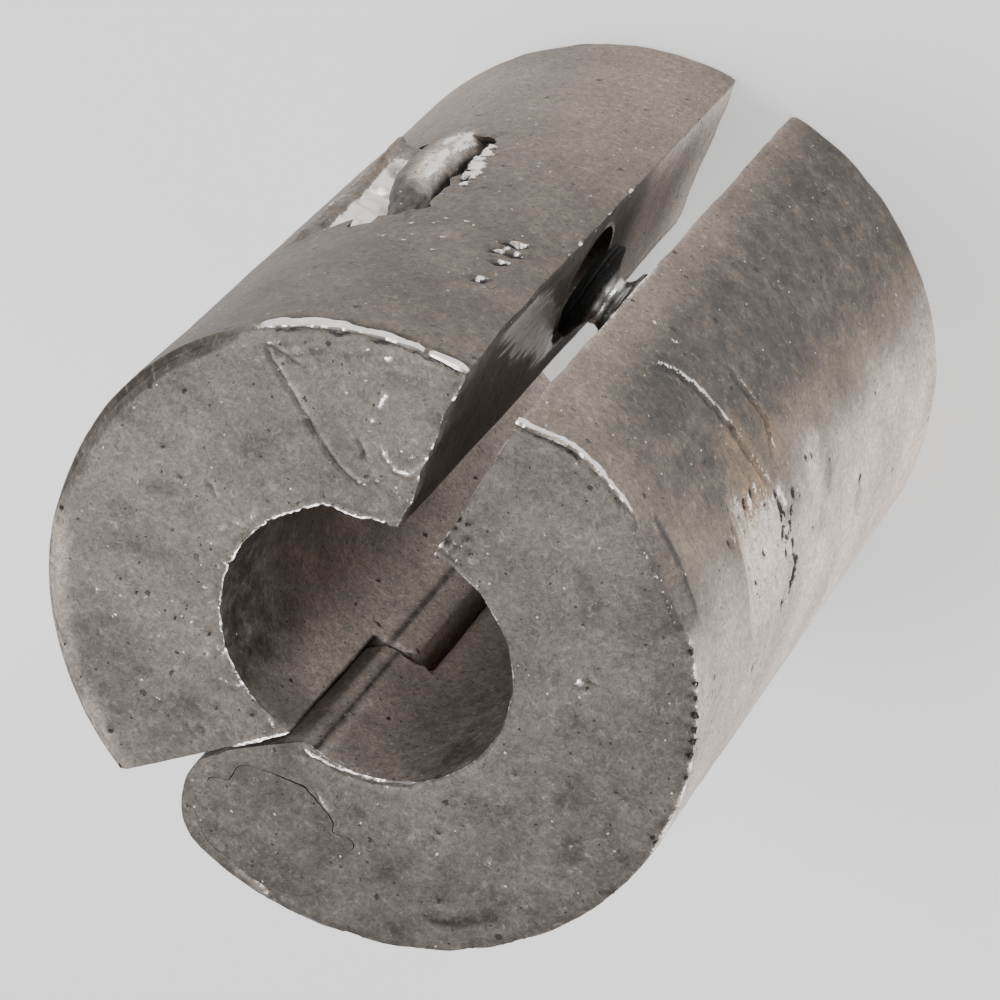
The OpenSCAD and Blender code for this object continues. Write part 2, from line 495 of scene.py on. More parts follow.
def cloud(tree, where, scale, detail, rough=0.55, bend=0.0):
    """A noise pattern with that many lumps to a metre, bent into wrinkles if asked."""
    values = {"Scale": scale, "Detail": detail, "Roughness": rough, "Distortion": bend}
    made = add_node(tree, "ShaderNodeTexNoise", values)
    tree.links.new(where, made.inputs["Vector"])
    return made.outputs["Fac"]


def raised(tree, height, distance, strength, under=None):
    """A bump of the given height in metres, on top of another one."""
    made = add_node(tree, "ShaderNodeBump", {"Distance": distance, "Strength": strength})
    tree.links.new(height, made.inputs["Height"])
    if under is not None:
        tree.links.new(under, made.inputs["Normal"])
    return made.outputs["Normal"]


def start_material(name):
    """A new node material, its tree, its shader and its object coordinates."""
    material = bpy.data.materials.new(name)
    material.use_nodes = True
    tree = material.node_tree
    shader = tree.nodes["Principled BSDF"]
    where = add_node(tree, "ShaderNodeTexCoord").outputs["Object"]
    return material, tree, shader, where


def painted(tree, layer):
    """What is painted on a piece in one of its layers."""
    return add_node(tree, "ShaderNodeAttribute", attribute_name=layer).outputs["Fac"]


def tinted(colour, strength=1.0):
    """A colour for a socket, made lighter or darker."""
    return (*[strength * part for part in colour], 1)


def dots(tree, where, scale, cut, size, rough):
    """Small ragged dots in some of the cells of a pattern with that many cells to a metre."""
    cells = add_node(tree, "ShaderNodeTexVoronoi", {"Scale": scale})
    tree.links.new(where, cells.inputs["Vector"])
    chosen = spread(tree, cells.outputs["Color"], cut, cut + 0.04)
    uneven = maths(tree, "ADD", cells.outputs["Distance"], maths(tree, "MULTIPLY", rough, 2.4 * size))
    near = spread(tree, uneven, 2.2 * size, 1.9 * size, 0, 1)
    return maths(tree, "MULTIPLY", near, chosen)


def lead_material(name, lead):
    """Dull cast lead with tarnish, stains, pits and fresh scrapes, and the painted shade, light and
    highlights laid on the castings.
    """
    material, tree, shader, where = start_material(name)
    paint = {layer: painted(tree, layer) for layer in PAINTS}
    blotch = cloud(tree, where, 210, 4, 0.5)
    mottle = cloud(tree, where, 900, 5, 0.65)
    grain = cloud(tree, where, 3600, 3, 0.6, 1.2)
    speck = cloud(tree, where, 11000, 2, 0.5)
    crinkle = cloud(tree, where, 2000, 4, 0.65, 1.0)
    holes = maths(tree, "MAXIMUM", dots(tree, where, 800, 0.66, 0.14, grain),
                  dots(tree, where, 1900, 0.6, 0.14, speck))
    glints = dots(tree, where, 1500, 0.62, 0.1, speck)
    pale = tinted(lead.pale_colour)
    bright = tinted(lead.worn_colour)
    black = tinted(lead.dark_colour, 0.3)

    # Every colour is broken up by the same grain
    shade = spread(tree, blotch, 0.35, 0.65, 0.8, 1.16)
    layers = ((mottle, 0.88, 1.12), (crinkle, 0.82, 1.2), (grain, 0.66, 1.36), (speck, 0.84, 1.16))
    for pattern, low, high in layers:
        shade = maths(tree, "MULTIPLY", shade, spread(tree, pattern, 0.3, 0.7, low, high))
    colour = mix_colours(tree, paint["pale"], tinted(lead.lead_colour), pale)
    colour = mix_colours(tree, paint["tan"], colour, tinted(lead.tan_colour))
    # Dark lead goes where grime is laid on, and where painted shade is laid on
    dirt_and_shade = maths(tree, "MULTIPLY", paint["grime"], spread(tree, mottle, 0.3, 0.7, 1.4, 0.6))
    colour = mix_colours(tree, dirt_and_shade, colour, tinted(lead.dark_colour))
    colour = mix_colours(tree, 1.0, colour, shade, "MULTIPLY")
    colour = mix_colours(tree, spread(tree, crinkle, 0.6, 0.72, 0, 0.2), colour, pale)
    colour = mix_colours(tree, spread(tree, glints, 0, 1, 0, 0.6), colour, bright)
    colour = mix_colours(tree, spread(tree, holes, 0, 1, 0, 0.85), colour, black)

    # Holes and bare metal have ragged edges
    ragged = maths(tree, "ADD", maths(tree, "MULTIPLY", grain, 0.9), maths(tree, "MULTIPLY", speck, 0.5))
    ragged = maths(tree, "SUBTRACT", ragged, 0.7)
    # Pits go nearly black, and so do the painted shadow lines laid on with them
    hole = spread(tree, maths(tree, "ADD", paint["pit"], ragged), 0.4, 0.6)
    # Bare fresh lead goes where wear is laid on, and it also gives the painted highlights
    bare = spread(tree, maths(tree, "ADD", paint["worn"], ragged), 0.4, 0.6)
    fresh = mix_colours(tree, spread(tree, mottle, 0.35, 0.65, 0, 0.5), bright, pale)
    colour = mix_colours(tree, hole, colour, black)
    colour = mix_colours(tree, bare, colour, fresh)
    tree.links.new(colour, shader.inputs["Base Color"])

    dull = spread(tree, mottle, 0.3, 0.7, 0.48, 0.62)
    dull = maths(tree, "SUBTRACT", dull, maths(tree, "MULTIPLY", bare, 0.2))
    tree.links.new(dull, shader.inputs["Roughness"])
    tree.links.new(spread(tree, bare, 0, 1, 0.35, 0.85), shader.inputs["Metallic"])

    normal = None
    for pattern, height, strength in ((mottle, 0.05, 0.5), (crinkle, 0.03, 0.6), (grain, 0.02, 0.6),
                                      (holes, -0.05, 0.6), (bare, 0.03, 0.5)):
        normal = raised(tree, pattern, height * MM, strength, normal)
    tree.links.new(normal, shader.inputs["Normal"])
    return material


def bright_material(name, metal_colour, scuffs):
    """Bright soft metal with tool marks, small dents, and grime and painted shade."""
    material, tree, shader, where = start_material(name)
    grime = painted(tree, "grime")
    lumps = cloud(tree, where, scuffs, 4, 0.6)
    marks = cloud(tree, where, 4 * scuffs, 3, 0.6)
    dim = spread(tree, lumps, 0.35, 0.75, 0, 0.8)
    colour = mix_colours(tree, dim, tinted(metal_colour), tinted(metal_colour, 0.35))
    dirt_and_shade = maths(tree, "MULTIPLY", grime, spread(tree, marks, 0.3, 0.7, 1.2, 0.7))
    colour = mix_colours(tree, dirt_and_shade, colour, tinted(metal_colour, 0.05))
    tree.links.new(colour, shader.inputs["Base Color"])
    dull = spread(tree, marks, 0.3, 0.7, 0.2, 0.42)
    dull = maths(tree, "ADD", dull, maths(tree, "MULTIPLY", grime, 0.35))
    tree.links.new(dull, shader.inputs["Roughness"])
    shader.inputs["Metallic"].default_value = 1.0
    normal = raised(tree, lumps, 0.12 * MM, 0.6)
    normal = raised(tree, marks, 0.03 * MM, 0.5, normal)
    tree.links.new(normal, shader.inputs["Normal"])
    return material


# Flow marks and scratches on the upper half's front end, in millimetres
UPPER_SEAM = [(12.0, 9.1), (11.2, 8.1), (10.4, 6.95), (9.25, 5.35), (8.4, 4.2), (7.9, 3.1), (7.7, 2.2)]
UPPER_BRANCH = [(12.2, 9.1), (12.0, 7.4), (12.0, 6.9)]
UPPER_CREASE = [(10.1, 3.3), (9.4, 2.7), (8.8, 2.2)]
UPPER_NICK = [(3.9, 9.3), (2.9, 8.4)]
UPPER_DASH = [(13.05, 2.65), (12.4, 2.8), (11.85, 2.85)]
UPPER_TRAIL = [(10.3, 2.2), (9.9, 1.5), (9.45, 0.9), (9.5, 0.45)]
UPPER_ARC = [(9.5, 0.45), (9.8, -0.05), (10.35, -0.2), (11.1, -0.25)]
UPPER_LINES = (UPPER_SEAM, UPPER_BRANCH, UPPER_CREASE, UPPER_NICK, UPPER_DASH, UPPER_TRAIL, UPPER_ARC)
UPPER_WRINKLES = (
    [(-9.16, 6.47), (-9.4, 5.6), (-9.8, 5.04)], [(-8.74, 5.27), (-9.41, 4.43)], [(-8.5, 4.6), (-8.89, 4.01)],
    [(-7.64, 4.46), (-7.74, 3.67)], [(-12.04, 8.34), (-12.4, 7.68)], [(-6.87, 11.8), (-7.23, 11.3)])

# Beads, lumps, holes, flecks and smudges on the same end
UPPER_BEADS = [
    (11.28, 2.89), (10.75, 2.83), (10.0, 1.7), (9.75, 1.37), (9.43, 0.9), (9.53, 0.48), (7.95, 2.3)]
UPPER_LUMPS = [
    (12.3, 8.9), (12.75, 8.3), (12.65, 7.35), (13.3, 6.65), (13.75, 5.35), (14.5, 4.4), (14.65, 3.3)]
UPPER_DOTS = [
    (-3.63, 11.42), (-3.9, 10.5), (-7.51, 4.66), (-6.86, 2.8), (-3.92, 6.32), (-4.14, 8.18), (-11.87, 9.16),
    (-8.55, 12.89), (4.37, 11.86), (3.26, 10.54), (-1.61, 15.58), (7.68, 11.86)]
UPPER_FLECKS = [
    (10.6, 1.0), (10.5, 0.45), (8.0, 2.05), (8.5, 1.6), (8.35, 0.8), (8.3, 0.4), (7.0, 2.1), (14.6, 3.3),
    (-4.75, 12.38), (-5.57, 11.05), (-3.78, 10.02), (-8.63, 7.41), (-1.62, 7.44), (-3.72, 7.36),
    (-5.46, 7.19), (-4.41, 5.62), (1.98, 12.37), (3.12, 10.15), (-1.09, 12.67)]
UPPER_SMUDGES = [(-6.21, 11.28), (2.07, 11.13), (-1.87, 11.62), (4.71, 14.3)]
BORE_SPECKS = 26

# Chips and flecks on the upper half's side, and the torn flake on the window's edge
SIDE_CHIPS = on_side([
    (10.0, 29.6), (8.6, 28.3), (7.0, 28.2), (6.7, 29.3), (7.7, 30.7), (8.1, 33.1), (9.2, 29.0)])
SIDE_FLECKS = on_side([
    (31.6, 30.1), (26.3, 30.7), (26.0, 29.8), (28.4, 28.2), (24.0, 28.1), (22.8, 27.4), (19.1, 27.4),
    (17.2, 27.7), (15.3, 27.6), (20.3, 29.7), (19.6, 31.5), (28.6, 38.1), (8.8, 9.2)])
FLAKE = on_side([(24.2, 22.2), (25.6, 21.0), (25.4, 20.2), (26.9, 19.2), (26.4, 18.3), (27.6, 16.6)])
FLAKE_CRACK = on_side([(24.9, 22.4), (26.6, 20.9), (26.5, 20.0), (27.8, 18.9)])
FLAKE_TEARS = [on_side(tear) for tear in (
    [(24.6, 21.5), (26.2, 22.0)], [(25.0, 20.6), (26.4, 20.7)], [(25.6, 19.4), (27.2, 19.8)],
    [(25.9, 18.6), (27.4, 18.5)], [(26.4, 17.3), (27.6, 17.6)])]
FLAKE_DOTS = on_side([(27.4, 24.4), (24.6, 22.6)])

# Lines, holes, flecks, lumps and a chip on the lower half's front end
LOWER_LINES = (
    [(-11.61, -8.3), (-10.81, -9.69), (-9.74, -10.75), (-9.05, -11.46)], [(6.73, -10.81), (7.26, -11.27)],
    [(5.49, -8.64), (5.32, -9.77)], [(9.22, -7.42), (9.74, -8.32)])
LOWER_WIDTHS = (0.3, 0.14, 0.14, 0.14)
LOWER_DOTS = [(-6.87, -6.7), (-10.22, -8.41), (-1.41, -8.31), (5.01, -9.2), (8.93, 0.16), (9.0, -0.32)]
LOWER_FLECKS = [(-7.83, -7.19), (-6.6, -9.63), (-6.1, -12.15), (5.1, -8.69), (9.15, -7.3)]
LOWER_KNOCK = (5.1, -8.7)
CORNER_LUMPS = [(7.25, 0.3), (7.15, -0.2), (7.05, -0.7), (7.8, -0.2), (8.0, 0.35)]
CORNER_PITS = [(7.5, 0.15), (7.5, -0.45), (8.3, -0.7), (7.7, -1.15), (8.4, 0.1)]
PLUG_CHIP = [(-15.3, 1.2), (-15.1, 0.6), (-15.05, 0.2), (-15.25, -0.1), (-15.35, -0.4), (-15.6, -1.1)]
PLUG_NICK = [(-14.3, 0.5), (-14.35, 0.2), (-14.5, -0.1)]
PLUG_LIP = [(-9.1, -0.4), (-9.3, -1.1), (-9.6, -1.8)]
BORE_BURR = [
    (-7.1, 1.3), (-6.95, 0.5), (-6.85, -0.7), (-6.55, -1.7), (-6.3, -2.4), (-5.8, -3.3), (-5.0, -4.5)]
BORE_BURR_LUMP = (-6.3, -2.4)
RIM_NICKS = (-51.6, -57.5, -60.3, -63.5, -66.4, -68.7, -71.5, -76, -83, -91)

# Bends of the joint round the plug: place, amount and size
PLUG_BENDS = (((-10.65, 4.2), -0.8, 0.8), ((-9.45, 0.3), 0.5, 1.2), ((-12.2, 4.75), -0.3, 0.6),
              ((-10.0, -2.4), -0.35, 0.35), ((-10.5, -2.95), 0.6, 0.45))

# Scratches, scrapes and pits on the lower half's side
LONG_SCRATCH = on_side([
    (-10.1, 31.8), (-12.0, 30.7), (-15.5, 30.0), (-20.2, 29.6), (-25.1, 29.3), (-29.8, 29.1), (-33.9, 28.9),
    (-39.1, 28.4), (-44.3, 27.4)])
SHORT_SCRATCH = on_side([
    (-19.9, 26.0), (-25.0, 25.8), (-30.6, 25.5), (-33.6, 25.3), (-38.8, 26.3), (-43.3, 26.1)])
HATCHED = on_side([(-34, 25.8)])[0]
WEDGE = on_side([(-41, 20.8), (-46, 21.4), (-51, 23.0)])
PATCH_RIM = on_side([(-36, 33.0), (-41.5, 33.8), (-46, 34.0), (-51.5, 34.1)])
SLOT_FLECKS = on_side([(-5.1, 29.2), (-7.5, 27.8), (-6.1, 28.1), (-11.3, 28.2)])
SIDE_PITS = on_side([
    (-45.0, 27.5), (-48.2, 25.4), (-47.6, 27.3), (-50.3, 26.1), (-52.4, 26.5), (-52.4, 27.7), (-56.1, 26.5),
    (-56.3, 27.6), (-60.2, 26.3), (-61.9, 26.7), (-63.9, 27.2), (-64.8, 28.6), (-41.0, 31.4), (-43.1, 34.6),
    (-40.3, 30.4), (-51.3, 30.7), (-70.6, 32.7), (-74.5, 31.7), (-62.3, 14.5), (-63.3, 15.8), (-45.6, 22.6),
    (-46.4, 21.8)])
PIT_ROW = on_side([(-47, 26.9), (-52, 27.0), (-56, 27.1), (-60, 26.6), (-64, 27.3)])
PITS_PER_STEP = 6
SIDE_SMUDGES = on_side([(-62.8, 15.0), (-53.2, 20.1), (-67.4, 15.1), (-59.5, 21.8)])

# Parts of the sides with fine marks: middle and half width in degrees, middle and half length in millimetres
CHIPPED = (8.5, 4, 30.5, 4)
FLAKED = (26, 3, 20, 5)
WINDOWED = (40, 20, MIDDLE, 7.5)
FLECKED = (22, 14, 29.5, 3)
SCRAPED = (-38, 29, 29.5, 5.5)

# Where the slot's torn edge begins along it, and the middle and half length of the brushed part of its face
# that carries a painted pool of light
TORN_FROM = 14
LIGHT_POOL_MIDDLE = 26
LIGHT_POOL_HALF = 10


def cast_surface(cast):
    """The waves and lumps that every cast face has."""
    ripple = cast.lead.ripple_height / MM
    cast.height += cast.lead.wave_height / MM * cast.wobble(6.0)
    cast.height += ripple * cast.wobble(1.9, 3.7)
    cast.height += 0.5 * ripple * cast.wobble(0.8, 7.1)


def worn_rims(cast):
    """Rounds off the rims unevenly."""
    rough = np.clip(0.6 + 0.8 * cast.wobble(1.4, 1.3), 0.1, 1.6)
    ends = (cast.to_front, cast.to_rear)
    rims = [(end, wall) for end in ends for wall in (cast.to_outer, cast.to_bore, cast.to_slot)]
    for first, second in (*rims, (cast.to_slot, cast.to_outer)):
        cast.height -= cast.lead.rim_round / MM * bell(np.hypot(first, second), 0, 0.25) * rough


def turned_lip(cast, span, width):
    """A lip turned over the front rim on to the side."""
    return span * fade(width + 0.12, width, cast.to_front) * fade(0.16, 0.04, cast.to_outer)


def slope_off(cast, span, across, down):
    """Cuts the front rim to a flat slope, and gives each place's depth in it, 1 at the rim."""
    level = 1 - cast.to_outer / across - cast.to_front / down
    reach = math.hypot(across, down)
    cut = span * np.clip(level, 0, 1) * across * down / reach
    cast.push(-cut * down / reach, cast.outwards)
    cast.push(cut * across / reach, BACKWARDS)
    return level


def front_spots(cast, draw, dots_at, flecks_at):
    """Small dark holes and bright raised flecks on a front end."""
    front = cast.bent_front(0.1, 0.4, 57.0)
    for centre in dots_at:
        size = draw.uniform(0.13, 0.18)
        cast.mark(front.spot(centre, (size, size)), dent=-0.6, pit=1.0)
    for centre in flecks_at:
        size = draw.uniform(0.1, 0.17)
        cast.mark(front.spot(centre, (size, 1.5 * size), draw.uniform(0, 3)), dent=0.3, worn=0.64)


def dull_patches(cast, seed):
    """Small dull hollows all over a front end."""
    patches = fade(0.25, 0.6, cast.wobble(1.7, seed)) * cast.on_front
    cast.mark(patches, dent=-0.15, grime=0.25)


def from_core_line(cast):
    """How far each place is round the bore from the line that the core left."""
    return np.radians((cast.angle - cast.half.core_line + 180) % 360 - 180) * BORE


def core_line(cast):
    """A thin line that the core left along the bore."""
    aside = from_core_line(cast)
    # The ridge is painted dark as painted shade, and a strip beside it pale as a painted highlight
    cast.mark(bell(aside, 0, 0.16) * cast.on_bore, ridge=0.5, grime=0.85, pale=-0.3)
    cast.mark(bell(aside, 0.45, 0.3) * cast.on_bore, pale=0.25)


def from_pin(cast, look):
    """How far each place is from the hinge pin, along the way a face looks."""
    return (cast.x - HINGE.x) * math.cos(look) + (cast.y - HINGE.y - cast.half.drop) * math.sin(look)


def from_hinge_end(cast):
    """How far each place is from a half's end beside the hinge."""
    return np.where(cast.x < 0, np.abs(from_pin(cast, END_LOOK) - cast.half.end), FAR)


def round_edge(cast, first, first_way, second, second_way, size, inside):
    """Rounds the edge of two faces, from how far each place is behind them and which way that is."""
    far = np.hypot(size - first, size - second)
    near = (cast.x < 0) & (first > -0.1) & (first < size) & (second < size) & (far > size)
    pull = np.where(near, 1 - size / far, 0) * inside
    cast.push(pull * (size - first), first_way)
    cast.push(pull * (size - second), second_way)


def hinge_faces(cast, side, end_size, middle_size, end_paint):
    """Rounds a half's edges beside the hinge, and paints the faces behind them."""
    hidden = (1 - cast.on_bore) * (1 - cast.on_front) * (cast.x < 0)
    from_middle = np.abs(cast.z - MIDDLE)
    ends = from_middle > MIDDLE - KNUCKLE_LENGTH - 0.3
    middle = from_middle < MIDDLE - KNUCKLE_LENGTH + 0.1
    faces = ((END_LOOK, cast.half.end, side, end_size, ends, end_paint),
             (MIDDLE_LOOK, cast.half.middle, -side, middle_size, middle, {"pale": 0.9}))
    for look, reach, way, size, inside, paint in faces:
        behind = way * (from_pin(cast, look) - reach)
        inwards = (way * math.cos(look), way * math.sin(look), 0)
        round_edge(cast, behind, inwards, cast.radius - BORE, cast.outwards, size, inside)
        cast.mark(fade(0.35, 0.1, np.abs(behind)) * inside * hidden, **paint)


def knuckle_corner(cast, behind):
    """Rounds the knuckle's lower front corner, or the corner of the pocket that it sits in."""
    above = cast.half.middle - from_pin(cast, MIDDLE_LOOK)
    inwards = (-math.cos(MIDDLE_LOOK), -math.sin(MIDDLE_LOOK), 0)
    inside = (above > -0.1) * fade(2.5, 1.2, cast.to_bore)
    round_edge(cast, behind, BACKWARDS, above, inwards, 0.9, inside)


def upper_hinge(cast):
    """Rounds the upper half's edges beside the hinge and its knuckle's front end."""
    # The end face behind the rounded edge is painted dark, a painted shade in the gap between the halves
    hinge_faces(cast, 1, 0.3, 1.0, {"grime": 1.0})
    knuckle = from_pin(cast, END_LOOK) < cast.half.end - 0.2
    behind = KNUCKLE_FRONT - cast.z
    round_edge(cast, behind, BACKWARDS, cast.radius - BORE, cast.outwards, 0.5, knuckle)
    knuckle_corner(cast, behind)


def lower_hinge(cast):
    """Rounds the lower half's edges beside the hinge and its pocket's front corner."""
    # The end face behind the rounded edge is painted pale, a painted light falling in from the slot
    hinge_faces(cast, -1, 0.3, 0.7, {"pale": 0.28})
    knuckle_corner(cast, LENGTH - KNUCKLE_LENGTH - cast.z)


def upper_rims(cast):
    """The turned lip, the burrs and the worn stretches of the upper half's rims."""
    uneven = 0.75 + 0.5 * cast.wobble(0.9, 5.5)
    ragged = 0.25 * cast.wobble(0.5, 6.5)
    jagged = cast.wobble(0.32, 8.5)
    worn_rims(cast)

    # A lip is turned over the front rim beside the slot, widest at its far end
    width = 0.24 + 0.1 * fade(6, 13, cast.angle) + 0.32 * fade(17, 27, cast.angle)
    width = width * (1 + ragged)
    span = between(cast.angle, -2, 1, 34, 41) * (1 - 0.9 * bell(cast.angle, 6.3, 0.7))
    lip = turned_lip(cast, span, width)
    cast.mark(lip * uneven, burr=1.0)
    cast.mark(lip * (1 - 0.3 * fade(20, 27, cast.angle)), worn=1.2)
    # A painted shadow lies on the front end under the lip
    under = span * bell(cast.to_front, width + 0.3, 0.16) * fade(0.16, 0.04, cast.to_outer)
    cast.mark(under, burr=-0.5, grime=0.5)

    # Below it runs a groove painted dark as a painted shadow line, and the front end is lumpy
    below = between(cast.angle, -1.5, 1, 33, 38)
    groove = below * bell(cast.to_outer + 0.6 * ragged, 0.3, 0.13) * cast.on_front
    cast.mark(groove * uneven, burr=-0.6, pit=0.85)
    lumpy = Face(cast.x + ragged, cast.y - ragged, cast.on_front)
    cast.scatter(lumpy, UPPER_LUMPS, (0.16, 0.34), 0.5, dent=0.45, worn=0.48)

    # Thin burrs along the front of the bore, of the slot face and of the end beside the hinge
    thin = bell(cast.to_bore + 0.12 * jagged, 0.03, 0.1) * (0.9 + 0.7 * jagged)
    thin = thin * between(cast.angle, -5, 5, 150, 165)
    thin = np.maximum(thin, bell(cast.to_slot + 0.12 * jagged, 0.05, 0.13) * (0.42 + 1.1 * jagged))
    thin = np.maximum(thin, 1.2 * bell(from_hinge_end(cast), 0, 0.1) * fade(-9.4, -8.6, cast.x))
    cast.mark(thin * cast.on_front * uneven, burr=0.5, worn=1.0)

    # A worn slope on the front rim over the top
    band = between(cast.angle, 38, 50, 84, 100)
    level = slope_off(cast, band, 0.75, 0.65)
    cast.mark(np.clip(3 * level, 0, 1) * band, grime=0.32)
    cast.mark(bell(cast.to_outer, 0.85, 0.12) * band * cast.on_front, grime=0.3)

    # Towards the hinge the rim is rubbed round, and the rim and the side behind it are painted pale as
    # painted light
    turned = between(cast.angle, 88, 112, 166, 180)
    slope_off(cast, turned, 0.5, 0.3)
    lit_rim = np.clip(1 - cast.to_outer / 1.4 - cast.to_front / 5.0, 0, 1) * turned
    cast.mark(lit_rim, pale=0.9, tan=-0.3)

    # The slot's front edge wanders, and the bore's rim has a kink beside it
    wander = 0.06 * np.sin(1.9 * cast.x + 1.0) - 0.2 * fade(12.5, 16, cast.x) + 0.25 * ragged
    cast.push(fade(36, 41.5, cast.z) * bell(cast.to_slot, 0, 0.8) * wander, UPWARDS)
    kink = 0.17 * bell(cast.angle, 32, 5) - 0.24 * bell(cast.angle, 15, 8) + 0.15 * ragged
    cast.push(fade(38, 41.5, cast.z) * bell(cast.to_bore, 0, 0.8) * kink, cast.outwards)


def upper_front(cast):
    """Flow marks, scratches and flecks of the upper half's front end."""
    front = cast.bent_front(0.12, 0.6, 41.0)

    # Creases painted dark as painted shade with a painted highlight on their raised edge, bright scratches
    # with beads, and wrinkles towards the hinge painted the same way
    for path, width in ((UPPER_SEAM, 0.15), (UPPER_BRANCH, 0.14), (UPPER_CREASE, 0.13), (UPPER_NICK, 0.11)):
        cast.mark(front.stroke(path, width, 0.6), ridge=-0.7, grime=0.65)
        cast.mark(front.stroke(path, width, 0.6, (-0.2, 0.15)), ridge=0.4, pale=0.3)
    for path, width, worn, pale in ((UPPER_DASH, 0.16, 0.7, 0.3), (UPPER_TRAIL, 0.13, 0.25, 0.3),
                                    (UPPER_ARC, 0.13, 0.3, 0.45)):
        cast.mark(front.stroke(path, width, 0.3), ridge=0.5, worn=worn, pale=pale)
    for count, centre in enumerate(UPPER_BEADS):
        size = 0.15 + 0.05 * math.sin(4 * count)
        cast.mark(front.spot(centre, (size, 1.3 * size), 0.7), dent=0.4, worn=0.75)
    for path in UPPER_WRINKLES:
        cast.mark(front.stroke(path, 0.1, 0.3), ridge=-0.5, grime=0.5)
        cast.mark(front.stroke(path, 0.1, 0.3, (-0.15, 0.15)), ridge=0.4, pale=0.2)

    # Holes, flecks and smudges, and specks near the bore
    draw = random.Random(UPPER_FRONT_DRAW)
    specks = []
    for count in range(BORE_SPECKS):
        turn = math.radians(draw.uniform(60, 178))
        reach = BORE + draw.uniform(0.15, 1.4)
        specks.append((reach * math.cos(turn), reach * math.sin(turn)))
    front_spots(cast, draw, UPPER_DOTS, UPPER_FLECKS)
    for centre in specks:
        size = draw.uniform(0.07, 0.12)
        fleck = front.spot(centre, (size, 1.8 * size), draw.uniform(0, 3))
        cast.mark(fleck, dent=0.2, worn=0.52, pale=0.3)
    cast.scatter(front, UPPER_SMUDGES, (0.5, 0.8), 0.4, dent=-0.3, grime=0.45)

    # The front end is duller in the fold beside the seam, towards the hinge and in small patches
    flat = Face(cast.x, cast.y, cast.on_front)
    cast.mark(flat.spot((9.6, 4.4), (0.7, 1.9), -0.75), grime=0.25)
    cast.mark(cast.on_front * fade(3, 9, cast.x), grime=0.13)
    cast.mark(cast.on_front * fade(-3, -11, cast.x), grime=0.35)
    dull_patches(cast, 45.0)


def upper_side(cast):
    """Chips, tears and stains of the upper half's side."""
    side = cast.bent_side(0.2, 0.45, 31.0)
    broken = 0.75 + 0.9 * cast.wobble(0.28, 37.0)
    draw = random.Random(UPPER_SIDE_DRAW)
    # Each chip is bright fresh lead with a painted shadow beside it
    for arc, height in SIDE_CHIPS:
        turn = draw.uniform(0.3, 0.9)
        cast.mark(side.spot((arc, height), (0.36, 0.14), turn) * broken, dent=0.45, worn=1.2)
        cast.mark(side.spot((arc + 0.15, height + 0.26), (0.5, 0.17), turn), dent=-0.7, pit=1.0)
    for centre in SIDE_FLECKS:
        cast.mark(side.spot(centre, (0.22, 0.11), draw.uniform(0.2, 1.0)), dent=0.3, worn=0.85)

    # The slot's outer edge is torn beside the latch, and a painted shade line runs along it behind
    edge = bell(cast.to_slot, 0.05, 0.16) * cast.on_outer * between(cast.z, 16, 18, 28, 31)
    cast.mark(edge * fade(0.0, 0.5, cast.wobble(0.7, 35.0)), dent=0.4, worn=0.8)
    cast.mark(bell(cast.to_slot, 0.3, 0.18) * cast.on_outer * between(cast.z, 2, 5, 14, 17), pit=0.5)

    # The side is darker towards the front and paler at the rear
    cast.mark(cast.on_outer * fade(10, 26, cast.z), grime=0.48)
    cast.mark(cast.on_outer, tan=0.3)
    cast.mark(cast.on_outer * fade(16, 4, cast.z) * fade(-5, 25, cast.angle), pale=0.16)


def upper_inside(cast):
    """Painted light and shade on the upper half's slot face and bore, with a worn socket rim and the core's
    line.
    """
    # The slot face is painted shade in front, most along its outer edge, and is pale at the rear; before the
    # latch it carries a painted pool of light bounded by painted shadow, with brush streaks in it
    on_slot = fade(0.4, 0.05, cast.to_slot) * fade(0.75, 0.95, -cast.looks[:, 1])
    cast.mark(on_slot * fade(11, 17, cast.z), grime=0.22)
    cast.mark(on_slot * fade(16, 10, cast.z), pale=0.9)
    cast.mark(on_slot * fade(14.3, 15.6, cast.radius) * fade(14, 20, cast.z), grime=0.5)
    streak = cast.wobble(1.0, 2.2, (4.0, 4.0, 0.35))
    fuzz = streak + 1.2 * cast.wobble(1.3, 2.7)
    behind = cast.z - 20.8 - 1.36 * (cast.x - 8.5) + fuzz
    before = 24.6 + 1.75 * (cast.x - 8.3) - cast.z + fuzz
    brushed_light_pool = fade(-0.9, 1.2, behind) * fade(-0.9, 1.2, before)
    brushed_light_pool = brushed_light_pool * between(cast.x, 7.6, 8.6, 14.9, 15.6) * on_slot
    cast.mark(brushed_light_pool, grime=-0.7, pale=1.2)
    cast.mark(brushed_light_pool * (0.85 + 1.1 * streak), worn=1.0)

    # The rim of the stud's socket is bright at the rear
    rim = bell(np.hypot(cast.x - BORE - LATCH_REACH, cast.z - MIDDLE), SOCKET_RIM, 0.14) * on_slot
    cast.mark(rim * fade(MIDDLE + 1, MIDDLE - 1.5, cast.z), worn=0.9, pale=0.6)

    # The bore is painted shade at the top and inside its front rim, and painted light towards the hinge,
    # where light comes in through the slot
    around = np.abs(cast.angle)
    hinge_side = 0.36 + 0.64 * fade(85, 130, around)
    cast.mark(cast.on_bore * hinge_side * (1 - 0.85 * fade(36, 41, cast.z)), pale=1.0)
    cast.mark(cast.on_bore * fade(34, 39, cast.z) * fade(160, 135, around), grime=0.78)
    core_line(cast)


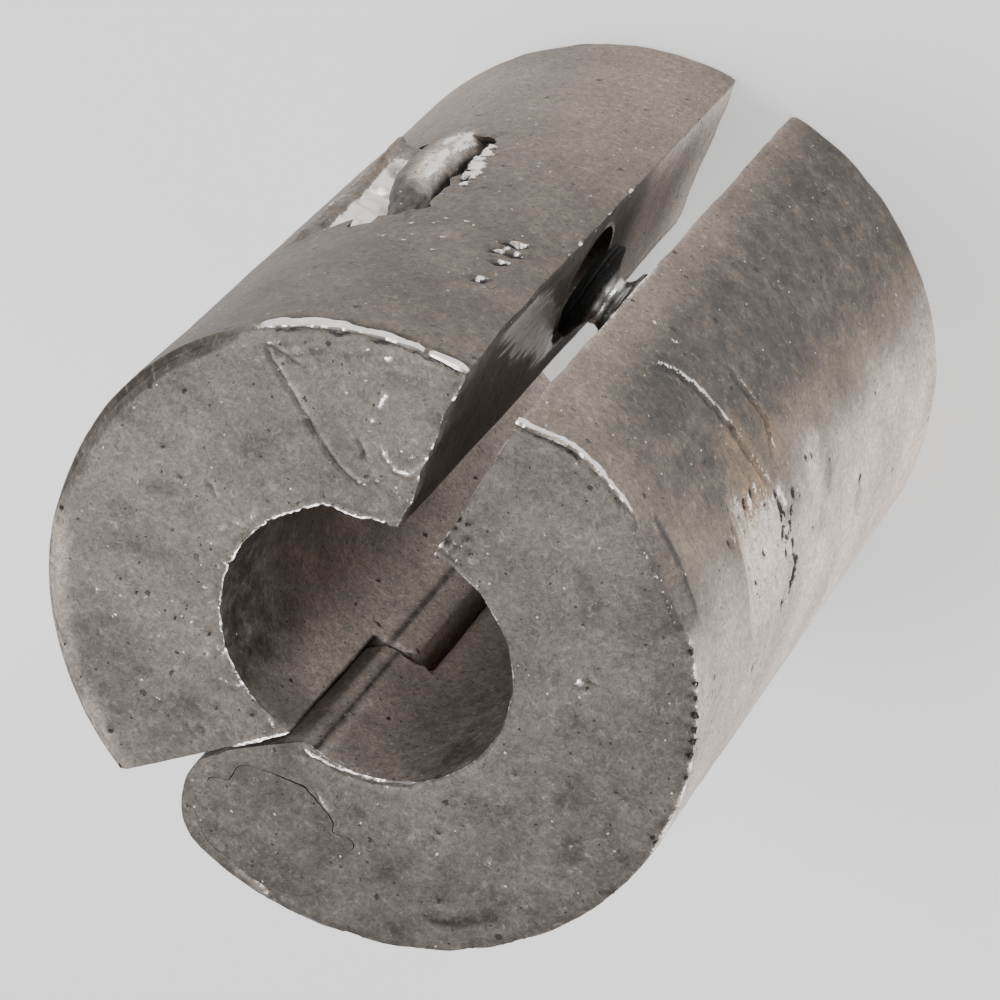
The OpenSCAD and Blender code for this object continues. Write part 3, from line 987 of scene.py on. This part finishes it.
def window(cast):
    """Torn edges and freshly cut walls of the upper half's window, with a painted highlight on its far wall
    and painted shade in its slit.
    """
    depth = OUTER - cast.radius
    in_length = between(cast.z, WINDOW_LOW - 0.3, WINDOW_LOW, WINDOW_HIGH, WINDOW_HIGH + 0.3)
    deep = fade(WINDOW_FLOOR - 0.2, WINDOW_FLOOR + 0.2, cast.y)
    inner = fade(0.2, 0.5, depth)
    # The far wall is freshly cut lead, painted white as a painted highlight where the light falls on it
    far_wall_highlight = bell(cast.x, WINDOW_LEFT, 0.3) * in_length * deep
    cast.mark(far_wall_highlight * inner * fade(WINDOW_LOW + 1, WINDOW_LOW + 4, cast.z), worn=1.5, pale=1.0)

    # The edges wander, and lead fills the rear of the far side
    to_window = np.maximum(np.maximum(WINDOW_LEFT - cast.x, cast.x - WINDOW_RIGHT),
                           np.maximum(WINDOW_LOW - cast.z, cast.z - WINDOW_HIGH))
    edge = bell(to_window, 0, 0.5) * fade(WINDOW_FLOOR, WINDOW_FLOOR + 3, cast.y)
    cast.push(0.2 * edge * cast.wobble(0.9, 21.0), ACROSS)
    cast.push(0.2 * edge * cast.wobble(0.9, 23.0), ALONG)
    filled = bell(cast.x, WINDOW_LEFT, 0.45) * fade(20.5, 16.5, cast.z) * in_length * deep
    cast.push(1.3 * filled, ACROSS)

    # The near edge hangs over the slit beside the bar
    beside = between(cast.z, WINDOW_LOW - 1, WINDOW_LOW + 1, WINDOW_HIGH, WINDOW_HIGH + 1)
    hang = bell(cast.x, WINDOW_RIGHT, 0.5) * beside * deep * fade(1.6, 0.3, depth)
    hang = hang * (0.55 + 0.4 * cast.wobble(0.8, 24.0)) / cast.radius
    cast.push(-hang * cast.y, ACROSS)
    cast.push(hang * cast.x, UPWARDS)

    # The slit's floor and its rear wall are painted black, a painted shade in the recess
    inside = between(cast.x, WINDOW_LEFT - 0.4, WINDOW_LEFT, WINDOW_RIGHT, WINDOW_RIGHT + 0.3)
    beside_bar = fade(WINDOW_LEFT + 2.2, WINDOW_LEFT + 2.6, cast.x) * inside * inner
    cast.mark(inside * bell(cast.y, WINDOW_FLOOR, 0.3) * in_length, grime=1.0)
    cast.mark(beside_bar * bell(cast.z, WINDOW_LOW, 0.3) * deep, grime=1.3)

    # A torn lip stands up along the far edge
    lip = bell(cast.x, WINDOW_LEFT - 0.5, 0.55) * cast.on_outer * in_length * fade(6, 9, cast.y)
    torn = np.clip(0.6 + cast.wobble(0.9, 25.0), 0, 1)
    cast.mark(lip * torn, dent=1.2, worn=0.45, pale=0.3)

    # A bright torn flake hangs on the near edge, with dots in front of it
    side = cast.bent_side(0.3, 0.5, 27.0)
    cast.mark(side.stroke(FLAKE, 0.34, 0.6), dent=0.7, worn=1.3)
    cast.mark(side.stroke(FLAKE_CRACK, 0.13, 0.5), dent=-1.0, pit=1.0)
    for tear in FLAKE_TEARS:
        cast.mark(side.stroke(tear, 0.1, 0.1), dent=-0.5, worn=-1.3, pit=0.9)
    cast.scatter(side, FLAKE_DOTS, (0.3, 0.2), 0.5, dent=0.6, worn=1.0)


def lower_rims(cast):
    """The thick burr, the flattened band and the nicks of the lower half's rims."""
    uneven = 0.75 + 0.5 * cast.wobble(0.9, 9.5)
    ragged = 0.25 * cast.wobble(0.5, 10.5)
    jagged = cast.wobble(0.32, 8.5)
    worn_rims(cast)

    # The slot's outer corner is worn back at the front
    corner = fade(-12, 0.5, cast.angle) * fade(38.5, 42, cast.z) * bell(cast.to_outer, 0, 1.5)
    cast.push(-0.75 * corner * (cast.x > 0), ACROSS)

    # A thick burr on the front rim beside the slot, with a painted highlight along its middle, and a groove
    # below it painted dark as a painted shadow line
    span = between(cast.angle, -27, -22, 0, 3)
    width = (0.24 - 0.1 * fade(-12, -24, cast.angle)) * (1 + 1.6 * ragged)
    lip = turned_lip(cast, span, width)
    cast.mark(lip * (uneven + 0.3 * jagged), burr=1.0, pale=0.8)
    cast.mark(lip * bell(cast.to_front, 0.55 * width, 0.14), worn=1.1)
    cast.mark(lip * jagged, worn=0.35)
    cast.mark(span * bell(cast.to_outer, 0.3, 0.13) * cast.on_front * uneven, burr=-0.7, pit=0.8)

    # A flattened band on the same rim farther round
    band = between(cast.angle, -50, -44, -30, -25)
    level = slope_off(cast, band, 0.6, 1.4)
    cast.mark(np.clip(4 * level, 0, 1) * band, grime=0.15, tan=-0.3, pale=-0.6)
    # Its outer edge is painted dark, a painted shadow line
    edge_shadow = bell(level, -0.08, 0.16) * band * cast.on_outer
    cast.mark(edge_shadow, grime=1.0, pale=-0.8, tan=-0.2)
    cast.mark(edge_shadow * fade(-36, -42, cast.angle), pit=0.5)
    inner = bell(cast.to_outer + 0.15 * jagged, 0.62, 0.09) * band * cast.on_front
    cast.mark(inner * (0.6 + 0.8 * jagged), burr=0.2, worn=0.8)

    # The rim between the nicks is rubbed bright
    chipped = between(cast.angle, -98, -88, -52, -46)
    bright = bell(np.hypot(cast.to_front, cast.to_outer) + 0.1 * jagged, 0, 0.2)
    cast.mark(bright * chipped * (1 + 0.5 * jagged), worn=0.85, pale=0.5)

    # A burr along the front of the bore beside the hinge, and a thin one elsewhere
    uneven_front = Face(cast.x + 0.4 * ragged, cast.y, cast.on_front)
    line = uneven_front.stroke(BORE_BURR, 0.1, 0.4) * (1 + 1.2 * ragged)
    flat = Face(cast.x, cast.y, cast.on_front)
    line = np.maximum(line, flat.spot(BORE_BURR_LUMP, (0.2, 0.4), 0.4))
    cast.mark(line * uneven, burr=0.8, worn=1.1)
    cast.mark(flat.stroke(BORE_BURR, 0.1, 0.4, (0.28, 0.12)), burr=-0.4, pit=0.55)
    cast.mark(bell(cast.to_bore, 0, 0.1) * cast.on_front * uneven, burr=0.3, worn=0.55)
    cast.mark(bell(cast.to_slot, 0, 0.1) * cast.on_front * uneven, burr=0.2, worn=0.5)


def lower_front(cast):
    """Pits, lumps and dull places of the lower half's front end."""
    front = cast.bent_front(0.12, 0.6, 47.0)
    draw = random.Random(RIM_DRAW)
    for angle in RIM_NICKS:
        size = draw.uniform(0.14, 0.3)
        centre = (math.radians(angle) * OUTER, LENGTH - draw.uniform(0, 0.15))
        near_rim = bell(cast.to_outer, 0.05, draw.uniform(1.0, 2.2) * size)
        nick = Face(cast.arc, cast.z, near_rim).spot(centre, (size, 1.2 * size))
        cast.mark(nick, dent=-0.9, pit=0.95, worn=-0.8)

    # Lumps and pits at the slot's inner corner
    cast.scatter(front, CORNER_LUMPS, (0.18, 0.14), 0.4, dent=0.4, worn=0.6)
    cast.scatter(front, CORNER_PITS, (0.18, 0.18), dent=-0.6, pit=0.7)

    # A chip on the rim beside the plug, and a knock
    cast.mark(front.stroke(PLUG_CHIP, 0.2, 0.3, (0.25, 0)), dent=-0.8, worn=0.5, pale=1.0)
    cast.mark(front.stroke(PLUG_CHIP, 0.12, 0.3, (-0.05, 0)), dent=-0.4, pit=0.95)
    cast.mark(front.stroke(PLUG_NICK, 0.12, 0.2), dent=-0.4, pit=0.9)
    cast.mark(front.stroke(PLUG_LIP, 0.11, 0.4, (-0.1, 0)), dent=0.4, worn=0.5, pale=0.5)
    cast.mark(front.spot(LOWER_KNOCK, (0.26, 0.18), 0.5), dent=0.4, worn=0.6)
    front_spots(cast, random.Random(LOWER_FRONT_DRAW), LOWER_DOTS, LOWER_FLECKS)
    # Lines painted dark as painted shade, each with a painted highlight on its raised edge
    for path, width in zip(LOWER_LINES, LOWER_WIDTHS):
        cast.mark(front.stroke(path, width, 0.4), ridge=-0.6, grime=0.6)
        cast.mark(front.stroke(path, 0.12, 0.4, (-0.2, 0.15)), ridge=0.4, pale=0.3)

    # It is duller towards the hinge, away from the slot and in small patches
    dull = np.maximum(fade(-7, -14, cast.y), fade(-4, -9, cast.x))
    cast.mark(dull * cast.on_front, grime=0.22)
    cast.mark(cast.on_front, grime=0.21)
    cast.mark(cast.on_front * fade(-4, -1, cast.y) * fade(4, 7, cast.x), grime=0.07)
    dull_patches(cast, 51.0)


def lower_side(cast):
    """Stains, scratches and scrapes of the lower half's side."""
    uneven = 0.75 + 0.5 * cast.wobble(0.9, 15.5)
    streaks = cast.wobble(1.0, 4.4, (0.5, 0.5, 3.0))
    around = cast.angle + 4.0 * cast.wobble(4.0, 16.5) + 2.0 * cast.wobble(1.2, 17.5)
    side = cast.bent_side(0.18, 0.5, 53.0)

    # The side carries a dark band beside the slot, tarnish along with a painted dark reflection, a pale
    # strip by the slot at the front as painted light, a brownish stain in the turn, and farther round dry
    # pale lead along with a painted bright reflection
    tarnish = fade(-45, -30, around) * fade(-4, -14, cast.angle + 0.12 * (cast.z - LENGTH))
    cast.mark(tarnish * cast.on_outer * fade(44, 34, cast.z), grime=0.74)
    cast.mark(cast.on_outer * fade(-16, -4, cast.angle) * fade(20, 34, cast.z), pale=0.12)
    cast.mark(bell(around, -37, 6) * cast.on_outer, tan=0.2)
    cast.mark(fade(-52, -36, around) * cast.on_outer, tan=0.3, grime=0.05)
    dry = fade(-40, -58, around) * fade(-118, -85, cast.angle) * cast.on_outer
    cast.mark(dry * (0.58 + 0.5 * fade(34, 18, cast.z)), pale=1.0)

    # Two long scratches with raised edges
    straight = Face(cast.arc, side.along, cast.on_outer)
    near_slot = fade(-34, -22, cast.angle)
    for path, width, strength in ((LONG_SCRATCH, 0.15, 1.0), (SHORT_SCRATCH, 0.12, 0.8)):
        line = straight.stroke(path, width, 1.5)
        cast.mark(line * uneven, ridge=1.2 * strength, worn=0.62 * strength, pale=0.6)
        cast.mark(line * near_slot, worn=0.35 * strength)
        shadow = straight.stroke(path, width, 1.5, (0, -0.33))
        cast.mark(shadow, ridge=-0.7 * strength, pit=0.45 * strength, grime=0.4)

    # Tan stains beside them run into a scraped bare patch
    stain = between(around, -46, -41, -31, -24) * between(side.along, 27.6, 28.4, 30.6, 32.4)
    cast.mark(stain * cast.on_outer * np.clip(0.8 + 0.6 * streaks, 0, 1), tan=0.9, grime=-0.3)
    hatch = Face(cast.arc, cast.z, cast.on_outer).spot(HATCHED, (1.7, 0.75), 0.1)
    cast.mark(hatch, tan=0.9, grime=-0.3)
    cast.mark(hatch * fade(0.1, 0.5, streaks), ridge=0.4, worn=0.55)
    wedge = side.stroke(WEDGE, 1.0, 0.8) * np.clip(0.6 + 0.8 * cast.wobble(0.6, 63.0), 0, 1)
    cast.mark(wedge, pale=0.8, grime=-0.4)
    cast.mark(wedge * fade(0.0, 0.5, streaks), dent=0.15, worn=0.75)
    border = -43 + 1.17 * (cast.z - 27)
    bare = fade(border + 2.5, border - 2.5, around) * fade(-68, -55, cast.angle) * cast.on_outer
    bare = bare * fade(33.8, 33.2, side.along) * fade(0, 1.0, side.along - 26.2 + 0.115 * (cast.angle + 46))
    cast.mark(bare, dent=-0.3, pale=0.7)
    cast.mark(bare * (0.55 + 0.3 * streaks), dent=0.12, worn=0.75)
    cast.mark(bare * fade(0.35, 0.6, cast.wobble(0.4, 61.0)), dent=-0.3, worn=-0.6, pit=0.75)
    cast.mark(side.stroke(PATCH_RIM, 0.12, 0.6), dent=-0.5, pit=0.6)

    # Bright flecks and a torn edge beside the slot
    cast.scatter(side, SLOT_FLECKS, (0.22, 0.12), 0.5, dent=0.3, worn=0.8)
    torn = bell(cast.to_slot, 0, 0.12) * cast.on_outer * between(cast.z, 21, 24, 31, 34)
    cast.mark(torn * uneven, dent=0.3, worn=0.75)
    side_pits(cast, side)


def side_pits(cast, side):
    """Pits in and below the bare patch of the lower half's side, and smudges farther back."""
    draw = random.Random(LOWER_SIDE_DRAW)
    for arc, height in SIDE_PITS:
        size = draw.uniform(0.17, 0.3)
        turn = draw.uniform(-0.6, 0.2)
        pit = side.spot((arc, height), (1.5 * size, 0.9 * size), turn)
        edge = side.spot((arc, height - 1.7 * size), (1.5 * size, 0.7 * size), turn)
        cast.mark(pit, dent=-0.8, pit=0.95, worn=-0.9)
        cast.mark(edge, dent=0.3, worn=0.65)

    # A row of small pits along the patch's edge
    for start, end in zip(PIT_ROW, PIT_ROW[1:]):
        for count in range(PITS_PER_STEP):
            part = draw.random()
            centre = [first + part * (last - first) for first, last in zip(start, end)]
            centre[1] += draw.uniform(-0.6, 0.6)
            size = draw.uniform(0.09, 0.16)
            pit = side.spot(centre, (1.4 * size, size), draw.uniform(-0.8, 0.8))
            cast.mark(pit, dent=-0.5, pit=1.0, worn=-0.8)
    cast.scatter(side, SIDE_SMUDGES, (0.9, 0.6), -0.4, dent=-0.3, grime=0.45)


def lower_inside(cast):
    """Painted light on the lower half's slot face and bore, more towards the hinge, and painted shade at the
    top of the bore and inside its front rim, with the core's line.
    """
    around = np.abs(cast.angle)
    cast.mark(on_face(cast.to_slot, cast.looks[:, 1]), pale=0.35)
    cast.mark(cast.on_bore, pale=0.35)
    cast.mark(cast.on_bore * fade(0, 5, -cast.x), pale=0.25)
    cast.mark(cast.on_bore * fade(150, 170, around) * fade(38, 35, cast.z), pale=0.3)
    cast.mark(cast.on_bore * fade(158, 125, around), grime=0.52)
    cast.mark(cast.on_bore * fade(37, 40, cast.z), grime=0.12)
    core_line(cast)


def from_plug(cast):
    """Where each place is from the plug's middle line, across and up."""
    return cast.x - PLUG_TOP.x, cast.y - np.clip(cast.y, PLUG_TOP.y - PLUG_DROP, PLUG_TOP.y)


def plug_gap(cast):
    """How far each place is outside the plug's outline, less than 0 inside it."""
    return np.hypot(*from_plug(cast)) - PLUG_RADIUS


def plug_joint(cast, side):
    """Moves the pocket's wall or the plug's wall to one side of a crooked joint."""
    near = bell(plug_gap(cast), 0, 0.9) * fade(3.2, 2.6, LENGTH - cast.z) * fade(0.1, 0.5, cast.to_outer)
    upright = (1.0, 1.0, 0.0)
    crooked = 0.1 * cast.wobble(1.2, 11.0, upright) + 0.07 * cast.wobble(0.45, 13.0, upright)
    flat = Face(cast.x, cast.y, 1.0)
    for centre, amount, size in PLUG_BENDS:
        crooked += amount * flat.spot(centre, (size, size))
    open_side = fade(-0.5, 0.9, cast.x - PLUG_TOP.x) * fade(-5.6, -4.8, cast.y - PLUG_TOP.y)
    half_gap = cast.lead.crack_width / MM * (1.6 * open_side - 1.1)
    away_x, away_y = from_plug(cast)
    move = near * (crooked + side * half_gap) / np.maximum(np.hypot(away_x, away_y), 0.05)
    cast.push(move * away_x, ACROSS)
    cast.push(move * away_y, UPWARDS)


def in_patch(cast, patch):
    """Whether each place is in a part of the casting, seen from its side."""
    angle, width, height, length = patch
    return (np.abs(cast.angle - angle) < width) & (np.abs(cast.z - height) < length)


def side_patch(cast, patch):
    """Whether each place is in a part of the outer side."""
    return in_patch(cast, patch) & (cast.to_outer < 0.4)


def near_bore_lines(cast):
    """Whether each place is near the core's line or the bore's edges beside the hinge."""
    end = np.abs(from_pin(cast, END_LOOK) - cast.half.end)
    middle = np.abs(from_pin(cast, MIDDLE_LOOK) - cast.half.middle)
    near_edge = (cast.x < 0) & (np.hypot(np.minimum(end, middle), cast.to_bore) < 1.2)
    return near_edge | (np.abs(from_core_line(cast)) < 0.9) & (cast.to_bore < SKIN)


def upper_edges(cast, reach):
    """Whether each place of the upper half is near a rim, a line or small marks."""
    rim = np.minimum.reduce((cast.to_outer, cast.to_bore, cast.to_slot, from_hinge_end(cast)))
    small = (cast.to_front < reach + SKIN) & (rim < reach)
    flat = Face(cast.x, cast.y, cast.to_front < SKIN)
    for path in UPPER_LINES:
        small |= flat.stroke(path, reach, 0.01) > 0.3
    small |= (cast.to_slot < reach) & (cast.to_outer < reach) & (cast.z > TORN_FROM)
    return small | side_patch(cast, CHIPPED) | side_patch(cast, FLAKED)


def upper_faces(cast):
    """Whether each place of the upper half is on a face with marks."""
    small = (cast.to_front < SKIN) | side_patch(cast, FLECKED) | near_bore_lines(cast)
    small |= in_patch(cast, WINDOWED) & (cast.y > 6)
    small |= (np.abs(cast.z - KNUCKLE_FRONT) < 0.8) & (cast.x < 0) & (cast.to_bore < 0.8)
    return small | (cast.to_slot < SKIN) & (np.abs(cast.z - LIGHT_POOL_MIDDLE) < LIGHT_POOL_HALF)


def lower_edges(cast, reach):
    """Whether each place of the lower half is near a rim or the plug's joint."""
    rim = np.minimum.reduce((cast.to_outer, cast.to_bore, cast.to_slot, np.abs(plug_gap(cast))))
    return (cast.to_front < reach) & (rim < reach)


def lower_faces(cast):
    """Whether each place of the lower half is on a face with marks."""
    return (cast.to_front < SKIN) | side_patch(cast, SCRAPED) | near_bore_lines(cast)


class WEIGHT_OT_upper_half(Operator):
    """Model the upper cast half"""
    bl_idname = "weight.upper_half"
    bl_label = "Upper half"

    def execute(self, context):
        lead = settings(context, "lead")
        cast = Cast("upper_half", lead.fineness, UPPER, lead)
        cast.refine(upper_edges(cast, FIRST_REACH) | upper_faces(cast))
        cast.refine(upper_edges(cast, SECOND_REACH))
        for step in (cast_surface, upper_rims, upper_hinge, upper_front, upper_side, upper_inside, window):
            step(cast)
        cast.finish("upper_casting", "upper_lead", "upper")
        return {"FINISHED"}


class WEIGHT_OT_lower_half(Operator):
    """Model the lower cast half"""
    bl_idname = "weight.lower_half"
    bl_label = "Lower half"

    def execute(self, context):
        lead = settings(context, "lead")
        cast = Cast("lower_half", lead.fineness, LOWER, lead)
        cast.refine(lower_edges(cast, FIRST_REACH) | lower_faces(cast))
        cast.refine(lower_edges(cast, SECOND_REACH))
        for step in (cast_surface, lower_rims, lower_hinge, lower_front, lower_side, lower_inside):
            step(cast)
        plug_joint(cast, 1)
        cast.finish("lower_casting", "lower_lead", "lower")
        return {"FINISHED"}


class WEIGHT_OT_plug(Operator):
    """Model the lead plug over the hinge pin"""
    bl_idname = "weight.plug"
    bl_label = "Plug"

    def execute(self, context):
        lead = settings(context, "lead")
        cast = Cast("hinge_plug", lead.plug_fineness, LOWER, lead)
        cast_surface(cast)
        plug_joint(cast, -1)

        # Its front end is dirty and lies a little deeper
        cast.push(0.03 * cast.on_front, BACKWARDS)
        cast.mark(cast.on_front, grime=0.56)
        cast.finish("plug_casting", "plug_lead", "lower")
        return {"FINISHED"}


class WEIGHT_OT_stud(Operator):
    """Model the latch stud"""
    bl_idname = "weight.stud"
    bl_label = "Latch stud"

    def execute(self, context):
        mesh = bmesh.new()
        verts = [mesh.verts.new((radius, 0, height)) for radius, height in STUD_OUTLINE]
        edges = [mesh.edges.new(pair) for pair in zip(verts, verts[1:])]
        bmesh.ops.spin(mesh, geom=verts + edges, cent=(0, 0, 0), axis=(0, 0, 1), angle=math.tau,
                       steps=STUD_STEPS, use_merge=True)
        bmesh.ops.remove_doubles(mesh, verts=mesh.verts, dist=0.001)
        bmesh.ops.recalc_face_normals(mesh, faces=mesh.faces)

        # The head is painted dark as painted shade inside the socket, the foot is darker, and the neck is
        # bright
        grime = mesh.verts.layers.float.new("grime")
        for vert in mesh.verts:
            vert[grime] = 1.2 * max(fade(1.4, 1.8, vert.co.z), 0.8 * fade(0.5, 0.3, vert.co.z))
        foot = Vector((BORE, LOWER.slot, MIDDLE))
        place = lower_place().inverted() @ Matrix.Translation(foot) @ Matrix.Rotation(LOWER.draft, 4, "Z")
        place = place @ Matrix.Translation((LATCH_REACH, 0, 0)) @ Matrix.Rotation(-math.pi / 2, 4, "X")
        bmesh.ops.transform(mesh, matrix=place, verts=mesh.verts)
        material = bright_material("stud_metal", settings(context, "metal").stud_colour, 900)
        finish_piece(mesh, "latch_stud_turned", material, "lower", "latch_stud")
        return {"FINISHED"}


class WEIGHT_OT_bar(Operator):
    """Model the bar across the window"""
    bl_idname = "weight.bar"
    bl_label = "Catch bar"

    def execute(self, context):
        low, high = (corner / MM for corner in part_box("catch_bar"))
        radius = (high.x - low.x) / 2
        half = (high.z - low.z) / 2
        mesh = bmesh.new()
        bmesh.ops.create_cone(
            mesh, cap_ends=True, segments=BAR_STEPS, radius1=radius, radius2=radius, depth=2 * half)
        sides = [edge for edge in mesh.edges if abs(edge.verts[0].co.z - edge.verts[1].co.z) > 1]
        bmesh.ops.subdivide_edges(mesh, edges=sides, cuts=BAR_CUTS)
        layers = {name: mesh.verts.layers.float.new(name) for name in PAINTS}
        for vert in mesh.verts:
            along = vert.co.z / half
            turn = math.degrees(math.atan2(vert.co.y, vert.co.x))
            lump = noise.noise(vert.co / 0.6)
            streak = noise.noise(Vector((vert.co.x, vert.co.y, 0.2 * vert.co.z)) / 0.3)
            swell = 0.05 * noise.noise(vert.co / 2.2) + 0.03 * noise.noise(vert.co / 0.7)
            front = fade(0.1, 0.4, along)
            sunk = fade(-0.5, -0.95, along)

            # It carries a painted highlight along its crest at the rear and painted light on its near side,
            # painted shade on its far side and where its rear sinks, and is darker in front
            crest_highlight = bell(turn, 0, 26) * between(along, -1.0, -0.8, 0.0, 0.35)
            shaded = between(turn, -170, -150, -56, -36) + 0.6 * fade(22, 50, turn)
            vert[layers["worn"]] = crest_highlight * (0.66 + 1.1 * streak)
            vert[layers["pale"]] = (0.1 + 0.9 * bell(turn, -4, 36)) * (1 - front)
            vert[layers["grime"]] = max((0.62 + 0.6 * lump) * front, 1.1 * shaded, 0.5 * sunk)

            # It is plump at the rear, and lumpy and nearer the slot in front
            plump = 1.2 - 0.62 * fade(-0.2, 1.0, along)
            vert.co.xy *= plump + swell + 0.2 * front * lump + 0.05 * streak
            raised_by = radius * (plump - 1) - 0.35 * sunk
            vert.co += BAR_OUTWARDS * raised_by + BAR_NEARER * (0.4 + 0.3 * front)
        bmesh.ops.translate(mesh, vec=(low + high) / 2, verts=mesh.verts)
        material = lead_material("bar_metal", settings(context, "lead"))
        finish_piece(mesh, "catch_bar_wire", material, "upper", "catch_bar")
        return {"FINISHED"}


class WEIGHT_OT_pin(Operator):
    """Give the hinge pin its steel"""
    bl_idname = "weight.pin"
    bl_label = "Hinge pin"

    def execute(self, context):
        steel = bright_material("pin_steel", settings(context, "metal").pin_colour, 1200)
        pin = frame["nodes"]["hinge_pin"]
        pin.data.materials.clear()
        pin.data.materials.append(steel)
        return {"FINISHED"}


class WEIGHT_OT_stage(Operator):
    """Set the floor, the lights and the camera"""
    bl_idname = "weight.stage"
    bl_label = "Stage"

    def execute(self, context):
        stage = settings(context, "stage")
        self.floor(stage)
        for name, place in LIGHTS.items():
            self.light(name, getattr(stage, name + "_power"), *place)
        self.camera(stage)
        world = bpy.data.worlds.new("studio")
        world.use_nodes = True
        backdrop = world.node_tree.nodes["Background"]
        backdrop.inputs["Color"].default_value = (WORLD_GREY, WORLD_GREY, WORLD_GREY, 1)
        backdrop.inputs["Strength"].default_value = WORLD_STRENGTH
        context.scene.world = world
        return {"FINISHED"}

    def floor(self, stage):
        """A pale floor with a soft glow, under the weight's rear end."""
        mesh = bmesh.new()
        bmesh.ops.create_grid(mesh, x_segments=1, y_segments=1, size=stage.floor_size / 2)
        material, tree, shader, where = start_material("pale_floor")
        tint = cloud(tree, where, 12, 3)
        colour = mix_colours(tree, tint, tinted(stage.floor_colour), tinted(stage.floor_colour, 0.97))
        tree.links.new(colour, shader.inputs["Base Color"])
        shader.inputs["Roughness"].default_value = 0.8
        shader.inputs["Emission Color"].default_value = (1, 1, 1, 1)
        shader.inputs["Emission Strength"].default_value = stage.floor_glow
        make_object(mesh, "floor", material)

    def light(self, name, power, direction, distance, width, height):
        """A soft rectangular light that looks at the weight's middle."""
        direction = Vector(direction)
        lamp = bpy.data.lights.new(name, "AREA")
        lamp.shape = "RECTANGLE"
        lamp.size = width
        lamp.size_y = height
        lamp.energy = power
        place = bpy.data.objects.new(name, lamp)
        place.location = Vector((0, 0, MIDDLE)) * MM + direction.normalized() * distance
        place.rotation_euler = direction.to_track_quat("Z", "Y").to_euler()
        bpy.context.scene.collection.objects.link(place)

    def camera(self, stage):
        """The camera at the photo's place."""
        view = CAMERA_VIEW.normalized()
        right = view.cross(CAMERA_UP).normalized()
        up = right.cross(view)
        turn = Matrix((right, up, -view)).transposed().to_4x4()
        lens = bpy.data.cameras.new("camera")
        lens.lens = stage.lens
        lens.sensor_width = SENSOR_WIDTH
        lens.clip_start = 0.01
        eye = bpy.data.objects.new("camera", lens)
        eye.matrix_world = Matrix.Translation(CAMERA_PLACE * MM) @ turn
        bpy.context.scene.collection.objects.link(eye)
        bpy.context.scene.camera = eye


STEPS = (WEIGHT_OT_upper_half, WEIGHT_OT_lower_half, WEIGHT_OT_plug, WEIGHT_OT_stud, WEIGHT_OT_bar,
         WEIGHT_OT_pin, WEIGHT_OT_stage)
GROUPS = {"lead": LeadSettings, "metal": MetalSettings, "stage": StageSettings}


class WEIGHT_PT_steps(Panel):
    """The weight's settings and the steps that build it"""
    bl_idname = "WEIGHT_PT_steps"
    bl_label = "Keepnet weight"
    bl_space_type = "VIEW_3D"
    bl_region_type = "UI"
    bl_category = "Keepnet weight"

    def draw(self, context):
        for name, group in GROUPS.items():
            for prop in group.__annotations__:
                self.layout.prop(settings(context, name), prop)
        for step in STEPS:
            self.layout.operator(step.bl_idname)


CLASSES = (*GROUPS.values(), *STEPS, WEIGHT_PT_steps)


def register():
    """Makes the settings, the steps and the panel known to Blender."""
    for group in CLASSES:
        bpy.utils.register_class(group)
    for name, group in GROUPS.items():
        setattr(bpy.types.Scene, "weight_" + name, PointerProperty(type=group))


def unregister():
    """Takes the settings, the steps and the panel out again."""
    for name in GROUPS:
        delattr(bpy.types.Scene, "weight_" + name)
    for group in reversed(CLASSES):
        bpy.utils.unregister_class(group)


def main():
    """Builds every piece and the stage."""
    register()
    bpy.ops.weight.upper_half()
    bpy.ops.weight.lower_half()
    bpy.ops.weight.plug()
    bpy.ops.weight.stud()
    bpy.ops.weight.bar()
    bpy.ops.weight.pin()
    bpy.ops.weight.stage()


if __name__ == "__main__":
    main()
